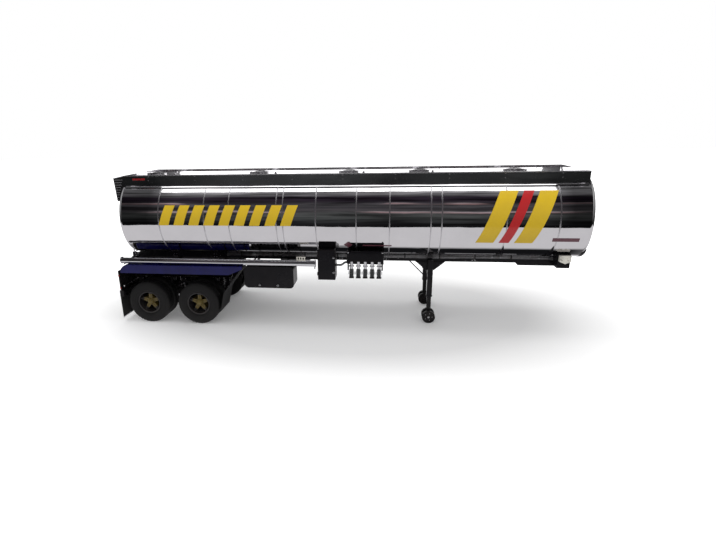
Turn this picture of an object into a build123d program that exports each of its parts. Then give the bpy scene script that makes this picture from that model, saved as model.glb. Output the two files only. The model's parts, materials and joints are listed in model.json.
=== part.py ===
"""Tank semi-trailer: oval barrel on a sub-frame, tandem axle at the rear, kingpin and legs in front.

Millimetres. X points forwards (towards the kingpin), -Y is the right-hand (kerb) side, Z is up.
The origin is on the floor, midway between the mudflaps and the nose of the front head.
"""
from build123d import *
from math import asin, cos, radians, sin
import os

# ---------------------------------------------------------------- overall
LENGTH = 10710.0            # rear face of the mudflaps to the nose of the front head
WIDTH = 2438.0              # over the fenders and the outer tyres
COUPLER_Z = 1390.0          # underside of the coupler plate

# ---------------------------------------------------------------- barrel
BARREL_HALF_W = 1200.0
BARREL_HALF_H = 935.0
BARREL_SIDE_R = 900.0       # radius of the two side arcs of the oval
HEAD_SAG = 230.0            # depth of a head's dish across the barrel's width
HEAD_SKIRT = 100.0          # straight flange of a head before its dish
KNUCKLE_R = 90.0
REAR_HEAD_INSET = 50.0      # the rear head's nose stands in front of the mudflap line
SEAM_STATIONS = (850.0, 1921.0, 2498.0, 3581.0, 3727.0, 4460.0, 5339.0, 6051.0,
                 6912.0, 7134.0, 8436.0, 9466.0)    # forwards from the rear head's seam
SEAM_W = 26.0
SEAM_T = 3.0

# ---------------------------------------------------------------- spill rails, manholes, walkway
COAMING_Y = 800.0
COAMING_RISE = 75.0         # above the barrel's crown
COAMING_T = 5.0
COAMING_LIP = 38.0
COAMING_REACH = 70.0        # the spill rail runs this far past the head seams
TAIL_GUARD_TIP = (25.0, 60.0)       # rear corner: in from the mudflap line, down from the lip
TAIL_GUARD_FOOT = (55.0, 595.0)     # lower corner, measured the same way
MANHOLE_STATIONS = (355.0, 2970.0, 5120.0, 6730.0, 8800.0)  # forwards from the rear head's seam
MANHOLE_R = 205.0           # outside of the collar
MANHOLE_T = 12.0
MANHOLE_RISE = 42.0         # collar's rim above the crown
COLLAR_SEAT = 16.0          # the collars stand in flat seats this far below the crown
COLLAR_CLEARANCE = 0.5
FILL_DEPTH = 140.0          # recess under each lid, below the crown
LID_GAP = 1.0
LID_T = 10.0
LID_CROWN = 26.0
LID_BEND = (113.0, 18.0)    # the crown's arc passes here: out from the middle, up from the rim
LID_PIN_R = 8.0
LID_PIN_SETBACK = 26.0      # from the collar's outside to the pin's axis
LID_EAR_R = 15.0
LID_EAR_Y = 60.0
LID_EAR_T = 14.0
LID_EAR_FOOT = 8.0          # underside of the ears above the crown
LID_EAR_LAP = 30.0          # the ears and the lids' tongues run this far into the rims
LID_KNUCKLE_HALF = 46.0
PIN_CLEARANCE = 0.05
WALKWAY_Y = 470.0           # centre of the walkway, on the right
WALKWAY_W = 300.0
WALKWAY_T = 5.0
WALKWAY_RISE = 20.0
WALKWAY_RIM = 30.0
WALKWAY_END_GAP = 120.0
WALKWAY_FOOT_INSET = 30.0
WALKWAY_FEET = 8

# ---------------------------------------------------------------- frame
SADDLE_DEPTH = 100.0        # underside of the rails to the barrel's underside
RAIL_Y = 500.0
RAIL_T = 8.0
RAIL_FLANGE_W = 90.0
RAIL_REAR_INSET = 60.0
RAIL_TAIL_DEPTH = 130.0     # height of a rail's web where it runs out under the rear head
CROSS_FIRST = 115.0
CROSS_BAYS = 7
CROSS_W = 70.0
CROSS_RELIEF = 10.0
BAND_END_GAP = 12.0         # the seam bands stop this far outside the rails
PAD_SETBACKS = (880.0, 1880.0)      # saddle pads, back from the nose of the front head
PAD_T = 12.0
PAD_RISE = 520.0            # the pads' points above the rails' bottom flanges
PAD_HALF_W = 130.0

# ---------------------------------------------------------------- coupler and front end
COUPLER_DEPTH = 60.0        # underside of the plate to the rails' bottom flanges
PLATE_T = 12.0
PLATE_BEHIND_PIN = 490.0
PLATE_AHEAD_OF_PIN = 440.0
PLATE_LEAD_IN = 7.0
RIB_T = 8.0
RIB_Y = 167.0
KINGPIN_SETBACK = 915.0     # from the nose of the front head
KINGPIN_R = 25.4            # 2 inch neck
KINGPIN_COLLAR_R = 35.7
KINGPIN_SHANK_R = 36.5
KINGPIN_SHANK_L = 25.4      # below the plate
KINGPIN_NECK_L = 35.0
KINGPIN_COLLAR_L = 22.0
RAIL_AHEAD_OF_PLATE = 20.0
BOLSTER_L = 260.0
BOLSTER_HALF_W = 880.0
BOLSTER_H = 310.0
APRON_T = 14.0
APRON_H = 430.0
APRON_HALF_W = 900.0
APRON_LAP = 20.0
BOX_INSETS = (20.0, 10.0)   # connection box in from the bolster's rear and front edges
BOX_RISE = 110.0
BOX_H = 180.0
BOX_POINT = 50.0            # height of the pointed bottom
BOX_DEPTH = 70.0
COUPLING_R = 30.0
COUPLING_L = 24.0

# ---------------------------------------------------------------- landing gear
LEG_SETBACK = 2415.0        # behind the kingpin
LEG_Y = 600.0
LEG_OUTER = 118.0
LEG_OUTER_CORNER_R = 14.0
LEG_INNER = 92.0
LEG_SPLIT_Z = 640.0
LEG_LAP = 250.0
LEG_HEAD_LAP = 60.0
LEG_FOOT_DROP = 45.0        # the inner tube ends this far below its axle
FOOT_R = 150.0
FOOT_W = 62.0
FOOT_GAP = 64.0             # from the leg's centre to the inner face of each wheel
FOOT_DISH = 14.0
FOOT_RIM = 26.0
FOOT_HUB_R = 42.0
FOOT_AXLE_R = 16.0
FOOT_AXLE_END = 12.0
GUSSET_T = 10.0
GUSSET_TOP_HALF = 330.0
GUSSET_LOW_HALF = 90.0
GUSSET_DEPTH = 200.0
STAY_R = 12.0
STAY_REACH = 470.0
STAY_INSET = 40.0
SHAFT_DROP = 440.0          # below the rails' bottom flanges
SHAFT_R = 19.0
GEARBOX_HALF_W = 75.0
GEARBOX_HALF_H = 90.0
GEARBOX_T = 70.0
GEARBOX_CORNER_R = 30.0
CRANK_R = 12.0
CRANK_OUT = 90.0
CRANK_DROP = 300.0
CRANK_GRIP = 110.0

# ---------------------------------------------------------------- running gear
REAR_AXLE_FROM_END = 730.0
AXLE_SPREAD = 1245.0
TYRE_R = 513.0
TYRE_W = 258.0
TYRE_SHOULDER = (40.0, 34.0)        # drop and width of the bevel beside the tread
TYRE_BEAD_INSET = 22.0
RIM_R = 262.0               # bead seat
RIM_T = 14.0
TWIN_SPACING = 330.0
HUB_R = 92.0
HUB_NOSE_R = 66.0
HUB_REACH = 60.0            # the hub stands out past the outer tyre's centre line
HUB_TAIL = 40.0
DRUM_R = 208.0
DRUM_T = 20.0
DRUM_W = 175.0
DRUM_INSET = 60.0           # the drum's closed end stands in from between the tyres
SPOKES = 5
SPOKE_ROOT_W = 96.0
SPOKE_TIP_W = 62.0
SPOKE_FACE = 20.0           # the spokes' faces stand out past the outer tyre's centre line
SPOKE_DEPTH = 255.0
SPOKE_ROOT_R = 60.0
SPOKE_RIM_GAP = 8.0
AXLE_TUBE_R = 63.5
SPINDLE_R = 44.0
SPINDLE_REACH = 30.0        # past the outer tyre's centre line
SPINDLE_END_GAP = 2.0
BEARING_CLEARANCE = 0.05
AXLE_TO_HUB = 3.0
SHIELD_R = 200.0
SHIELD_T = 8.0
SHIELD_GAP = 6.0            # brake shield to the drum's open edge
CAMSHAFT_R = 17.0
CAMSHAFT_SETBACK = 120.0
LEVER_HALF_L = 22.0
LEVER_HALF_W = 14.0
CHAMBER_R = 78.0
CHAMBER_L = 130.0
CHAMBER_Y = 290.0
CHAMBER_SETBACK = 190.0
CHAMBER_RISE = 60.0
PUSHROD_R = 10.0
CHAMBER_BRACKET_Y = 30.0    # bracket's inner face from the chamber's centre
CHAMBER_BRACKET_T = 12.0
CHAMBER_BRACKET_DROP = 20.0

# ---------------------------------------------------------------- suspension
SPRING_Y = 470.0
SPRING_W = 76.0
LEAF_T = 22.0
LEAF_HALVES = (500.0, 400.0, 270.0)     # top leaf first
SPRING_RISE = 105.0         # the top leaf's ends above its middle
SEAT_T = 24.0
SEAT_HALF = 75.0
HANGER_OVERLAP = 20.0       # the outer hangers stand this far past the leaf ends
HANGER_HALF_L = 55.0
HANGER_PLATE_T = 10.0
HANGER_SIDE_GAP = 7.0       # spring to each hanger plate
HANGER_DROP = 130.0         # hanger plates below the leaf ends
WEAR_PAD_L = 55.0
WEAR_PAD_H = 30.0
EQUALIZER_HALF_W = 38.0
EQUALIZER_TOP_HALF = 60.0
EQUALIZER_H = 90.0
EQUALIZER_PIN_R = 22.0
EQUALIZER_PIN_PROUD = 15.0
BOGIE_Z = 960.0             # underside of the suspension sub-frame
BOGIE_T = 10.0
BOGIE_FLANGE_W = 130.0
BOGIE_PAST_HANGERS = 90.0
BOGIE_SWEEP = 220.0         # the webs' front edges slope forwards by this much
BOGIE_HOLE_R = 120.0
BOGIE_TIE_W = 80.0
BOGIE_TIE_TOP = 210.0
ROD_R = 17.0
ROD_EYE_R = 30.0
ROD_EYE_HALF = 30.0
ROD_PIN_R = 14.0
ROD_PIN_GAP = 1.0
ROD_PIN_RISE = 25.0         # above the hangers' lower ends
ROD_RISE = 25.0             # above the axle's centre
TANK_R = 120.0
TANK_L = 760.0
TANK_Y = 230.0
TANK_DROP = 160.0           # centre of the air reservoir below the rails
TANK_STATION = 3700.0       # its rear end, forwards from the mudflap line
TANK_END_R = 45.0
TANK_STRAP_INSET = 140.0
TANK_STRAP_W = 40.0
TANK_STRAP_T = 6.0

# ---------------------------------------------------------------- fenders, guards, tail
FENDER_RISE = 0.0           # top of the fenders above the rails' bottom flanges
FENDER_DEPTH = 200.0
FENDER_T = 5.0
FENDER_IN_Y = 570.0
FENDER_REAR_INSET = 110.0
FENDER_GAP_TO_LOCKER = 15.0
FENDER_LIP_H = 60.0
FENDER_SWEEP = 330.0        # the skirt rises over this length at its front end
FENDER_CORNER_R = 190.0
FENDER_RETURN_W = 26.0
GUARD_T = 6.0
GUARD_SIDE_GAP = 2.0
GUARD_INSET = 8.0           # behind the fender's front edge
GUARD_DROP = 25.0           # the guard's upright top part
GUARD_KNEE = (-477.0, -620.0)       # from the upright part to the knee
GUARD_FOOT = (-120.0, -470.0)       # from the knee to the foot
FLAP_T = 10.0
FLAP_TOP_Z = 790.0
FLAP_BOTTOM_Z = 90.0
FLAP_IN_Y = 600.0
FLAP_OUT_Y = 1200.0
BUMPER_H = 150.0
BUMPER_D = 90.0
BUMPER_HANGER_Y = 400.0
PANEL_INSET = 30.0
PANEL_T = 6.0
PANEL_H = 500.0
PANEL_FLANGE = 30.0
LAMPS = 3
LAMP_R = 50.0
LAMP_PITCH = 150.0
LAMP_EDGE = 90.0
LAMP_DROP = 80.0
LAMP_REAR_INSET = 2.0
LADDER_Y = (-370.0, -70.0)
LADDER_RAIL_D = 36.0
LADDER_RAIL_T = 10.0
LADDER_TOP_DROP = 55.0      # below the spill rail's top
LADDER_STAY_Z = (1950.0, 2800.0)
LADDER_STAY_H = 50.0
LADDER_RUNG_R = 11.0
LADDER_RUNGS = 9
LADDER_FIRST_RUNG = 150.0
LADDER_PITCH = 300.0

# ---------------------------------------------------------------- hose tube, cabinets, valves
OUTRIGGER_STATIONS = (80.0, 1230.0, 2380.0, 2880.0, 4230.0)     # forwards from the tube's rear end
OUTRIGGER_T = 12.0
OUTRIGGER_UNDER_TUBE = 11.0 # plate left under the hose tube
TUBE_Y = 1100.0
TUBE_R = 70.0
TUBE_T = 4.0
TUBE_L = 4685.0
TUBE_REAR_INSET = 125.0
CRADLE_DROP = 40.0          # an outrigger's top edge below the tube's centre
CRADLE_SIDE = 60.0
CAP_T = 8.0
CAP_GAP = 1.0
HINGE_R = 7.0
HINGE_PIN_R = 4.0
HINGE_LUG_L = 18.0
HINGE_LUG_GAP = 0.5
HINGE_OFFSET = 9.0          # hinge axis out from the leaf's edge and from the face behind it
HINGE_ROOT = 10.0           # fixed lugs start this far inside the edge
HINGE_BACK = 20.0           # and reach this far behind the face
HINGE_TOP = 12.0
HINGE_RELIEF = 4.0          # fixed lugs clear the leaf's edge by this much
HINGE_STRAP = 14.0          # the moving strap runs this far on to the leaf
CABINET_GAP = 45.0          # hose tube to valve cabinet
CABINET_L = 395.0
CABINET_Z = (1160.0, 1860.0)
CABINET_OUT_Y = 1130.0
CABINET_IN_Y = 800.0
CABINET_WALL = 4.0
CABINET_CORNER_R = 14.0
DOOR_T = 4.0
DOOR_GAP = 1.5
LOCKER_GAP = 565.0          # locker to valve cabinet
LOCKER_L = 1160.0
LOCKER_Z = (930.0, 1440.0)
LOCKER_IN_Y = 700.0
LOCKER_CORNER_R = 90.0
LOCKER_ARM_INSET = 220.0
LOCKER_ARM_H = 60.0
LOCKER_ARM_REACH = 1000.0
LOCKER_HINGE_INSET = 300.0
CABINET_ARM_INSET = 60.0
CABINET_ARM_H = 90.0
CABINET_HINGE_Z = (1300.0, 1700.0)
MANIFOLD_GAP = 260.0        # valve cabinet to manifold
MANIFOLD_MARGIN = 99.0
MANIFOLD_Z = (1500.0, 1590.0, 1820.0)   # underside of the plenum, of the guard, top of the guard
MANIFOLD_Y = (950.0, 1000.0, 1120.0)    # back of the guard, front of the plenum, front of the guard
MANIFOLD_CORNER_R = 40.0
POST_R = 16.0
POST_INSET = 30.0
POST_FOOT_Z = 1400.0
POST_Y = 1128.0
PLENUM_LAP = 1.0            # the plenum runs this far up into the guard
ADAPTERS = 5
ADAPTER_PITCH = 153.0
ADAPTER_Y = 1045.0
ADAPTER_PIPE_R = 36.0
ADAPTER_FLANGE_R = 58.0
ADAPTER_FLANGE_T = 16.0
ADAPTER_FLANGE_Z = 1480.0
ADAPTER_BODY_R = 50.0
ADAPTER_BEND_Z = 1400.0
ADAPTER_END_Z = 1235.0
ADAPTER_SPLAY = 14.0        # degrees out from straight down
ADAPTER_CAP_R = 55.0
ADAPTER_CAP_T = 36.0

# ---------------------------------------------------------------- places worked out from the above
REAR_X = -LENGTH / 2
FRONT_X = LENGTH / 2
RAIL_BOTTOM_Z = COUPLER_Z + COUPLER_DEPTH
RAIL_OUT_Y = RAIL_Y + RAIL_T
BARREL_BOTTOM_Z = RAIL_BOTTOM_Z + SADDLE_DEPTH
BARREL_Z = BARREL_BOTTOM_Z + BARREL_HALF_H
BARREL_TOP_Z = BARREL_Z + BARREL_HALF_H
DISH_R = (BARREL_HALF_W ** 2 + HEAD_SAG ** 2) / (2 * HEAD_SAG)
REAR_NOSE_X = REAR_X + REAR_HEAD_INSET
REAR_SEAM_X = REAR_NOSE_X + HEAD_SAG + HEAD_SKIRT
FRONT_SEAM_X = FRONT_X - HEAD_SAG - HEAD_SKIRT
COAMING_TOP_Z = BARREL_TOP_Z + COAMING_RISE
COAMING_REAR_X = REAR_SEAM_X - COAMING_REACH
COAMING_FRONT_X = FRONT_SEAM_X + COAMING_REACH
MANHOLE_X = [REAR_SEAM_X + station for station in MANHOLE_STATIONS]
MANHOLE_TOP_Z = BARREL_TOP_Z + MANHOLE_RISE
LID_BASE_Z = MANHOLE_TOP_Z + LID_GAP
LID_PIN_X = MANHOLE_R + LID_PIN_SETBACK
LID_PIN_Z = LID_BASE_Z + LID_T / 2
WALKWAY_Z = BARREL_TOP_Z + WALKWAY_RISE
KINGPIN_X = FRONT_X - KINGPIN_SETBACK
PLATE_REAR_X = KINGPIN_X - PLATE_BEHIND_PIN
PLATE_FRONT_X = KINGPIN_X + PLATE_AHEAD_OF_PIN
RAIL_REAR_X = REAR_X + RAIL_REAR_INSET
RAIL_FRONT_X = PLATE_FRONT_X + RAIL_AHEAD_OF_PLATE
BOLSTER_REAR_X = RAIL_FRONT_X - BOLSTER_L
LEG_X = KINGPIN_X - LEG_SETBACK
SHAFT_Z = RAIL_BOTTOM_Z - SHAFT_DROP
REAR_AXLE_X = REAR_X + REAR_AXLE_FROM_END
FRONT_AXLE_X = REAR_AXLE_X + AXLE_SPREAD
AXLE_X = {"front": FRONT_AXLE_X, "rear": REAR_AXLE_X}
SIDES = {"right": -1, "left": 1}
OUTER_TYRE_Y = WIDTH / 2 - TYRE_W / 2
INNER_TYRE_Y = OUTER_TYRE_Y - TWIN_SPACING
TWIN_Y = (OUTER_TYRE_Y + INNER_TYRE_Y) / 2
SPINDLE_END_Y = OUTER_TYRE_Y + SPINDLE_REACH
HUB_IN_Y = INNER_TYRE_Y - HUB_TAIL
HUB_OUT_Y = OUTER_TYRE_Y + HUB_REACH
DRUM_OUT_Y = TWIN_Y - DRUM_INSET
DRUM_IN_Y = DRUM_OUT_Y - DRUM_W
LEAF_LOW_Z = TYRE_R + AXLE_TUBE_R + SEAT_T      # underside of the leaf pack at the axle
LEAF_TOP_Z = LEAF_LOW_Z + LEAF_T * len(LEAF_HALVES)
LEAF_END_Z = LEAF_TOP_Z + SPRING_RISE           # top of the leaf ends
LEAF_R = (LEAF_HALVES[0] ** 2 + SPRING_RISE ** 2) / (2 * SPRING_RISE)
LEAF_CENTRE_Z = LEAF_TOP_Z + LEAF_R
HANGER_REACH = LEAF_HALVES[0] + HANGER_OVERLAP
HANGER_X = (REAR_AXLE_X - HANGER_REACH, REAR_AXLE_X + AXLE_SPREAD / 2, FRONT_AXLE_X + HANGER_REACH)
HANGER_HALF_W = SPRING_W / 2 + HANGER_SIDE_GAP + HANGER_PLATE_T
HANGER_LOW_Z = LEAF_END_Z - HANGER_DROP
TUBE_REAR_X = REAR_X + TUBE_REAR_INSET
TUBE_FRONT_X = TUBE_REAR_X + TUBE_L
FENDER_TOP_Z = RAIL_BOTTOM_Z + FENDER_RISE
TUBE_Z = FENDER_TOP_Z + OUTRIGGER_UNDER_TUBE + TUBE_R
OUTRIGGER_X = [TUBE_REAR_X + station for station in OUTRIGGER_STATIONS]
CABINET_X = (TUBE_FRONT_X + CABINET_GAP, TUBE_FRONT_X + CABINET_GAP + CABINET_L)
LOCKER_X = (CABINET_X[0] - LOCKER_GAP - LOCKER_L, CABINET_X[0] - LOCKER_GAP)
FENDER_REAR_X = REAR_X + FENDER_REAR_INSET
FENDER_FRONT_X = LOCKER_X[0] - FENDER_GAP_TO_LOCKER
FENDER_LOW_Z = FENDER_TOP_Z - FENDER_DEPTH
MANIFOLD_X = (CABINET_X[1] + MANIFOLD_GAP,
              CABINET_X[1] + MANIFOLD_GAP + 2 * MANIFOLD_MARGIN + (ADAPTERS - 1) * ADAPTER_PITCH)
PAD_X = [FRONT_X - setback for setback in PAD_SETBACKS]
PANEL_X = REAR_X + PANEL_INSET
LAMP_TOP_Z = FLAP_TOP_Z + PANEL_H
BUMPER_Z = FLAP_TOP_Z - BUMPER_H


def save(builder, name):
    builder.part.label = name
    export_step(builder.part, f"parts/{name}.step")


def block(x, y, z, mode=Mode.ADD):
    """A box between two x, two y and two z values."""
    with Locations((sum(x) / 2, sum(y) / 2, sum(z) / 2)):
        Box(abs(x[1] - x[0]), abs(y[1] - y[0]), abs(z[1] - z[0]), mode=mode)


def rod(start, end, radius, mode=Mode.ADD):
    """A round bar from one point to another."""
    axis = Vector(*end) - Vector(*start)
    with BuildSketch(Plane(origin=start, z_dir=axis)) as end_face:
        Circle(radius)
    extrude(end_face.sketch, amount=axis.length, mode=mode)


def side_plate(points, y, thickness, mode=Mode.ADD):
    """A flat plate with an outline in X and Z, centred on a y value."""
    with BuildSketch(Plane.XZ.offset(-y - thickness / 2)) as outline:
        with BuildLine():
            Polyline(*points, close=True)
        make_face()
    extrude(outline.sketch, amount=thickness, mode=mode)


def turned(points, centre, direction):
    """A solid turned from (radius, distance along the axis) points about a line through centre."""
    across = Vector(1, 0, 0).cross(Vector(*direction))
    with BuildSketch(Plane(origin=centre, x_dir=(1, 0, 0), z_dir=across)) as half:
        with BuildLine():
            Polyline(*points, close=True)
        make_face()
    revolve(half.sketch, axis=Axis(centre, direction))


def barrel_section(x, grow=0.0):
    """The barrel's oval at a station, grown outwards by an amount."""
    a, b, r = BARREL_HALF_W + grow, BARREL_HALF_H + grow, BARREL_SIDE_R + grow
    crown_r = (a * a + b * b - 2 * a * r) / (2 * (b - r))
    span = crown_r - r
    ty = (a - r) * (1 + r / span)
    tz = r * (crown_r - b) / span
    top, low = BARREL_Z + tz, BARREL_Z - tz
    with BuildSketch(Plane.YZ.offset(x)) as section:
        with BuildLine():
            ThreePointArc((-ty, top), (0, BARREL_Z + b), (ty, top))
            ThreePointArc((ty, top), (a, BARREL_Z), (ty, low))
            ThreePointArc((ty, low), (0, BARREL_Z - b), (-ty, low))
            ThreePointArc((-ty, low), (-a, BARREL_Z), (-ty, top))
        make_face()
    return section.sketch


def cut_barrel(grow=0.0):
    """Take the barrel's full-length outline away from the piece being made."""
    extrude(barrel_section(REAR_NOSE_X, grow), amount=FRONT_X - REAR_NOSE_X, mode=Mode.SUBTRACT)


# ---------------------------------------------------------------- barrel
def make_barrel():
    with BuildPart() as barrel:
        extrude(barrel_section(REAR_SEAM_X), amount=FRONT_SEAM_X - REAR_SEAM_X)
        for x in MANHOLE_X:
            with Locations((x, 0, BARREL_TOP_Z)):
                Cylinder(MANHOLE_R + COLLAR_CLEARANCE, 2 * COLLAR_SEAT, mode=Mode.SUBTRACT)
                Cylinder(MANHOLE_R - MANHOLE_T, 2 * FILL_DEPTH, mode=Mode.SUBTRACT)
    save(barrel, "barrel")


def dished_head(seam_x, nose_x):
    """A flanged and dished head between its seam and its nose, as solid metal."""
    ahead = 1 if nose_x > seam_x else -1
    with BuildPart() as head:
        extrude(barrel_section(seam_x), amount=nose_x - seam_x)
        with Locations((nose_x - ahead * DISH_R, 0, BARREL_Z)):
            Sphere(DISH_R, mode=Mode.INTERSECT)
        rim = head.edges().filter_by(GeomType.LINE, reverse=True)
        rim = rim.filter_by(lambda edge: abs(edge.center().X - seam_x) > HEAD_SKIRT / 4)
        fillet(rim, KNUCKLE_R)
    return head


def saddle_pads(x):
    """Pointed pads wrapped round the barrel's flanks, from the rails up."""
    with BuildPart() as pads:
        extrude(barrel_section(x - PAD_HALF_W, PAD_T), amount=2 * PAD_HALF_W)
        cut_barrel()
        side_plate([(x - PAD_HALF_W, RAIL_BOTTOM_Z), (x + PAD_HALF_W, RAIL_BOTTOM_Z),
                    (x, RAIL_BOTTOM_Z + PAD_RISE)], 0, WIDTH, mode=Mode.INTERSECT)
        block((x - PAD_HALF_W, x + PAD_HALF_W), (-RAIL_Y, RAIL_Y), (RAIL_BOTTOM_Z, BARREL_Z),
              mode=Mode.SUBTRACT)
    return pads.part


def make_seam_bands():
    band_end = RAIL_OUT_Y + BAND_END_GAP
    lip = COAMING_Y + COAMING_LIP
    with BuildPart() as seam_bands:
        for station in SEAM_STATIONS:
            x = REAR_SEAM_X + station - SEAM_W / 2
            extrude(barrel_section(x, SEAM_T), amount=SEAM_W)
            extrude(barrel_section(x), amount=SEAM_W, mode=Mode.SUBTRACT)
        block((REAR_X, FRONT_X), (-lip, lip), (BARREL_Z, COAMING_TOP_Z), mode=Mode.SUBTRACT)
        block((REAR_X, FRONT_X), (-band_end, band_end), (RAIL_BOTTOM_Z, BARREL_Z), mode=Mode.SUBTRACT)
        for x in PAD_X:
            add(saddle_pads(x), mode=Mode.SUBTRACT)
    save(seam_bands, "seam_bands")


# ---------------------------------------------------------------- top fittings
def make_coamings():
    """Spill rails: upright sheets seated on the barrel, each with a folded lip on top."""
    reach = (COAMING_REAR_X, COAMING_FRONT_X)
    for side, s in SIDES.items():
        with BuildPart() as coaming:
            block(reach, (s * COAMING_Y, s * (COAMING_Y + COAMING_T)), (BARREL_Z, COAMING_TOP_Z))
            block(reach, (s * COAMING_Y, s * (COAMING_Y + COAMING_LIP)),
                  (COAMING_TOP_Z - COAMING_T, COAMING_TOP_Z))
            cut_barrel()
        save(coaming, f"coaming_{side}")


def make_coaming_ends(rear_head):
    """End plates across the deck, the rear one with a pointed guard plate behind each corner."""
    tip_x, tip_drop = TAIL_GUARD_TIP
    foot_x, foot_drop = TAIL_GUARD_FOOT
    foot_z = COAMING_TOP_Z - foot_drop
    with BuildPart() as ends:
        for x in (COAMING_REAR_X, COAMING_FRONT_X - COAMING_T):
            block((x, x + COAMING_T), (-COAMING_Y, COAMING_Y), (BARREL_Z, COAMING_TOP_Z))
        cut_barrel()
        for s in SIDES.values():
            side_plate([(COAMING_REAR_X + COAMING_T, COAMING_TOP_Z),
                        (REAR_X + tip_x, COAMING_TOP_Z - tip_drop), (REAR_X + foot_x, foot_z),
                        (REAR_SEAM_X, foot_z), (REAR_SEAM_X, BARREL_Z + BARREL_HALF_H / 2),
                        (COAMING_REAR_X + COAMING_T, BARREL_Z + BARREL_HALF_H / 2)],
                       s * (COAMING_Y - COAMING_T / 2), COAMING_T)
        add(rear_head.part, mode=Mode.SUBTRACT)
    save(ends, "coaming_ends")


def make_manhole_collars():
    """Collars standing in their seats, each with two hinge ears behind it."""
    foot_z = BARREL_TOP_Z - COLLAR_SEAT
    with BuildPart() as collars:
        for x in MANHOLE_X:
            pin_x = x - LID_PIN_X
            with Locations((x, 0, (foot_z + MANHOLE_TOP_Z) / 2)):
                Cylinder(MANHOLE_R, MANHOLE_TOP_Z - foot_z)
            for y in (-LID_EAR_Y, LID_EAR_Y):
                ear = (y - LID_EAR_T / 2, y + LID_EAR_T / 2)
                block((pin_x - LID_EAR_R, x - MANHOLE_R + LID_EAR_LAP), ear,
                      (BARREL_TOP_Z + LID_EAR_FOOT, MANHOLE_TOP_Z))
                rod((pin_x, ear[0], LID_PIN_Z), (pin_x, ear[1], LID_PIN_Z), LID_EAR_R)
                rod((pin_x, y - LID_EAR_T, LID_PIN_Z), (pin_x, y + LID_EAR_T, LID_PIN_Z),
                    LID_PIN_R, mode=Mode.SUBTRACT)
            with Locations((x, 0, (foot_z + MANHOLE_TOP_Z) / 2)):
                Cylinder(MANHOLE_R - MANHOLE_T, MANHOLE_TOP_Z - foot_z, mode=Mode.SUBTRACT)
    save(collars, "manhole_collars")


def make_manhole_lids():
    """Dome lids that swing to the rear about a cross-wise pin."""
    shoulder = LID_BASE_Z + LID_T
    bend_x, bend_z = LID_BEND
    pin_half = LID_EAR_Y + LID_EAR_T
    for number, x in enumerate(MANHOLE_X, 1):
        pin_x = x - LID_PIN_X
        with BuildPart() as lid:
            with BuildSketch(Plane.XZ):
                with BuildLine():
                    Polyline((x, LID_BASE_Z), (x + MANHOLE_R, LID_BASE_Z), (x + MANHOLE_R, shoulder))
                    ThreePointArc((x + MANHOLE_R, shoulder), (x + bend_x, shoulder + bend_z),
                                  (x, shoulder + LID_CROWN))
                    Line((x, shoulder + LID_CROWN), (x, LID_BASE_Z))
                make_face()
            revolve(axis=Axis((x, 0, 0), (0, 0, 1)))
            block((pin_x, x - MANHOLE_R + LID_EAR_LAP), (-LID_KNUCKLE_HALF, LID_KNUCKLE_HALF),
                  (LID_BASE_Z, shoulder))
            rod((pin_x, -LID_KNUCKLE_HALF, LID_PIN_Z), (pin_x, LID_KNUCKLE_HALF, LID_PIN_Z),
                LID_EAR_R - LID_GAP)
            rod((pin_x, -pin_half, LID_PIN_Z), (pin_x, pin_half, LID_PIN_Z), LID_PIN_R - PIN_CLEARANCE)
        save(lid, f"manhole_lid_{number}")


def make_walkway():
    """A tread plank on angle stand-offs, on the right of the manholes."""
    near, far = -WALKWAY_Y - WALKWAY_W / 2, -WALKWAY_Y + WALKWAY_W / 2
    start, end = COAMING_REAR_X + WALKWAY_END_GAP, COAMING_FRONT_X - WALKWAY_END_GAP
    step = (end - start - 2 * WALKWAY_FOOT_INSET) / (WALKWAY_FEET - 1)
    with BuildPart() as walkway:
        block((start, end), (near, far), (WALKWAY_Z, WALKWAY_Z + WALKWAY_T))
        for edge in (near, far - WALKWAY_T):
            block((start, end), (edge, edge + WALKWAY_T), (WALKWAY_Z - WALKWAY_RIM, WALKWAY_Z))
        for k in range(WALKWAY_FEET):
            x = start + WALKWAY_FOOT_INSET + k * step
            block((x - WALKWAY_T / 2, x + WALKWAY_T / 2), (near, far), (BARREL_Z, WALKWAY_Z))
        cut_barrel()
    save(walkway, "walkway")


# ---------------------------------------------------------------- frame
def make_frame_rails():
    """Two channels cut to the barrel's underside, with the saddle pads on their flanks."""
    reach = (RAIL_REAR_X, RAIL_FRONT_X)
    with BuildPart() as rails:
        for s in SIDES.values():
            block(reach, (s * RAIL_Y, s * RAIL_OUT_Y), (RAIL_BOTTOM_Z, BARREL_Z))
            block(reach, (s * (RAIL_Y - RAIL_FLANGE_W), s * RAIL_Y),
                  (RAIL_BOTTOM_Z, RAIL_BOTTOM_Z + RAIL_T))
        cut_barrel()
        block((REAR_X, REAR_SEAM_X), (-WIDTH / 2, WIDTH / 2), (RAIL_BOTTOM_Z + RAIL_TAIL_DEPTH, BARREL_Z),
              mode=Mode.SUBTRACT)
        for x in PAD_X:
            add(saddle_pads(x))
    save(rails, "frame_rails")


def make_crossmembers():
    """Box sections between the webs, their tops hugging the barrel."""
    first = RAIL_REAR_X + CROSS_FIRST
    stations = [first + k * (LEG_X - first) / CROSS_BAYS for k in range(CROSS_BAYS + 1)]
    stations.append((LEG_X + PLATE_REAR_X) / 2)
    with BuildPart() as crossmembers:
        for x in stations:
            block((x - CROSS_W / 2, x + CROSS_W / 2), (-RAIL_Y, RAIL_Y), (RAIL_BOTTOM_Z + RAIL_T, BARREL_Z))
        cut_barrel()
        block((REAR_X, REAR_SEAM_X), (-WIDTH / 2, WIDTH / 2), (BARREL_BOTTOM_Z - CROSS_RELIEF, BARREL_Z),
              mode=Mode.SUBTRACT)
    save(crossmembers, "crossmembers")


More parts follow.
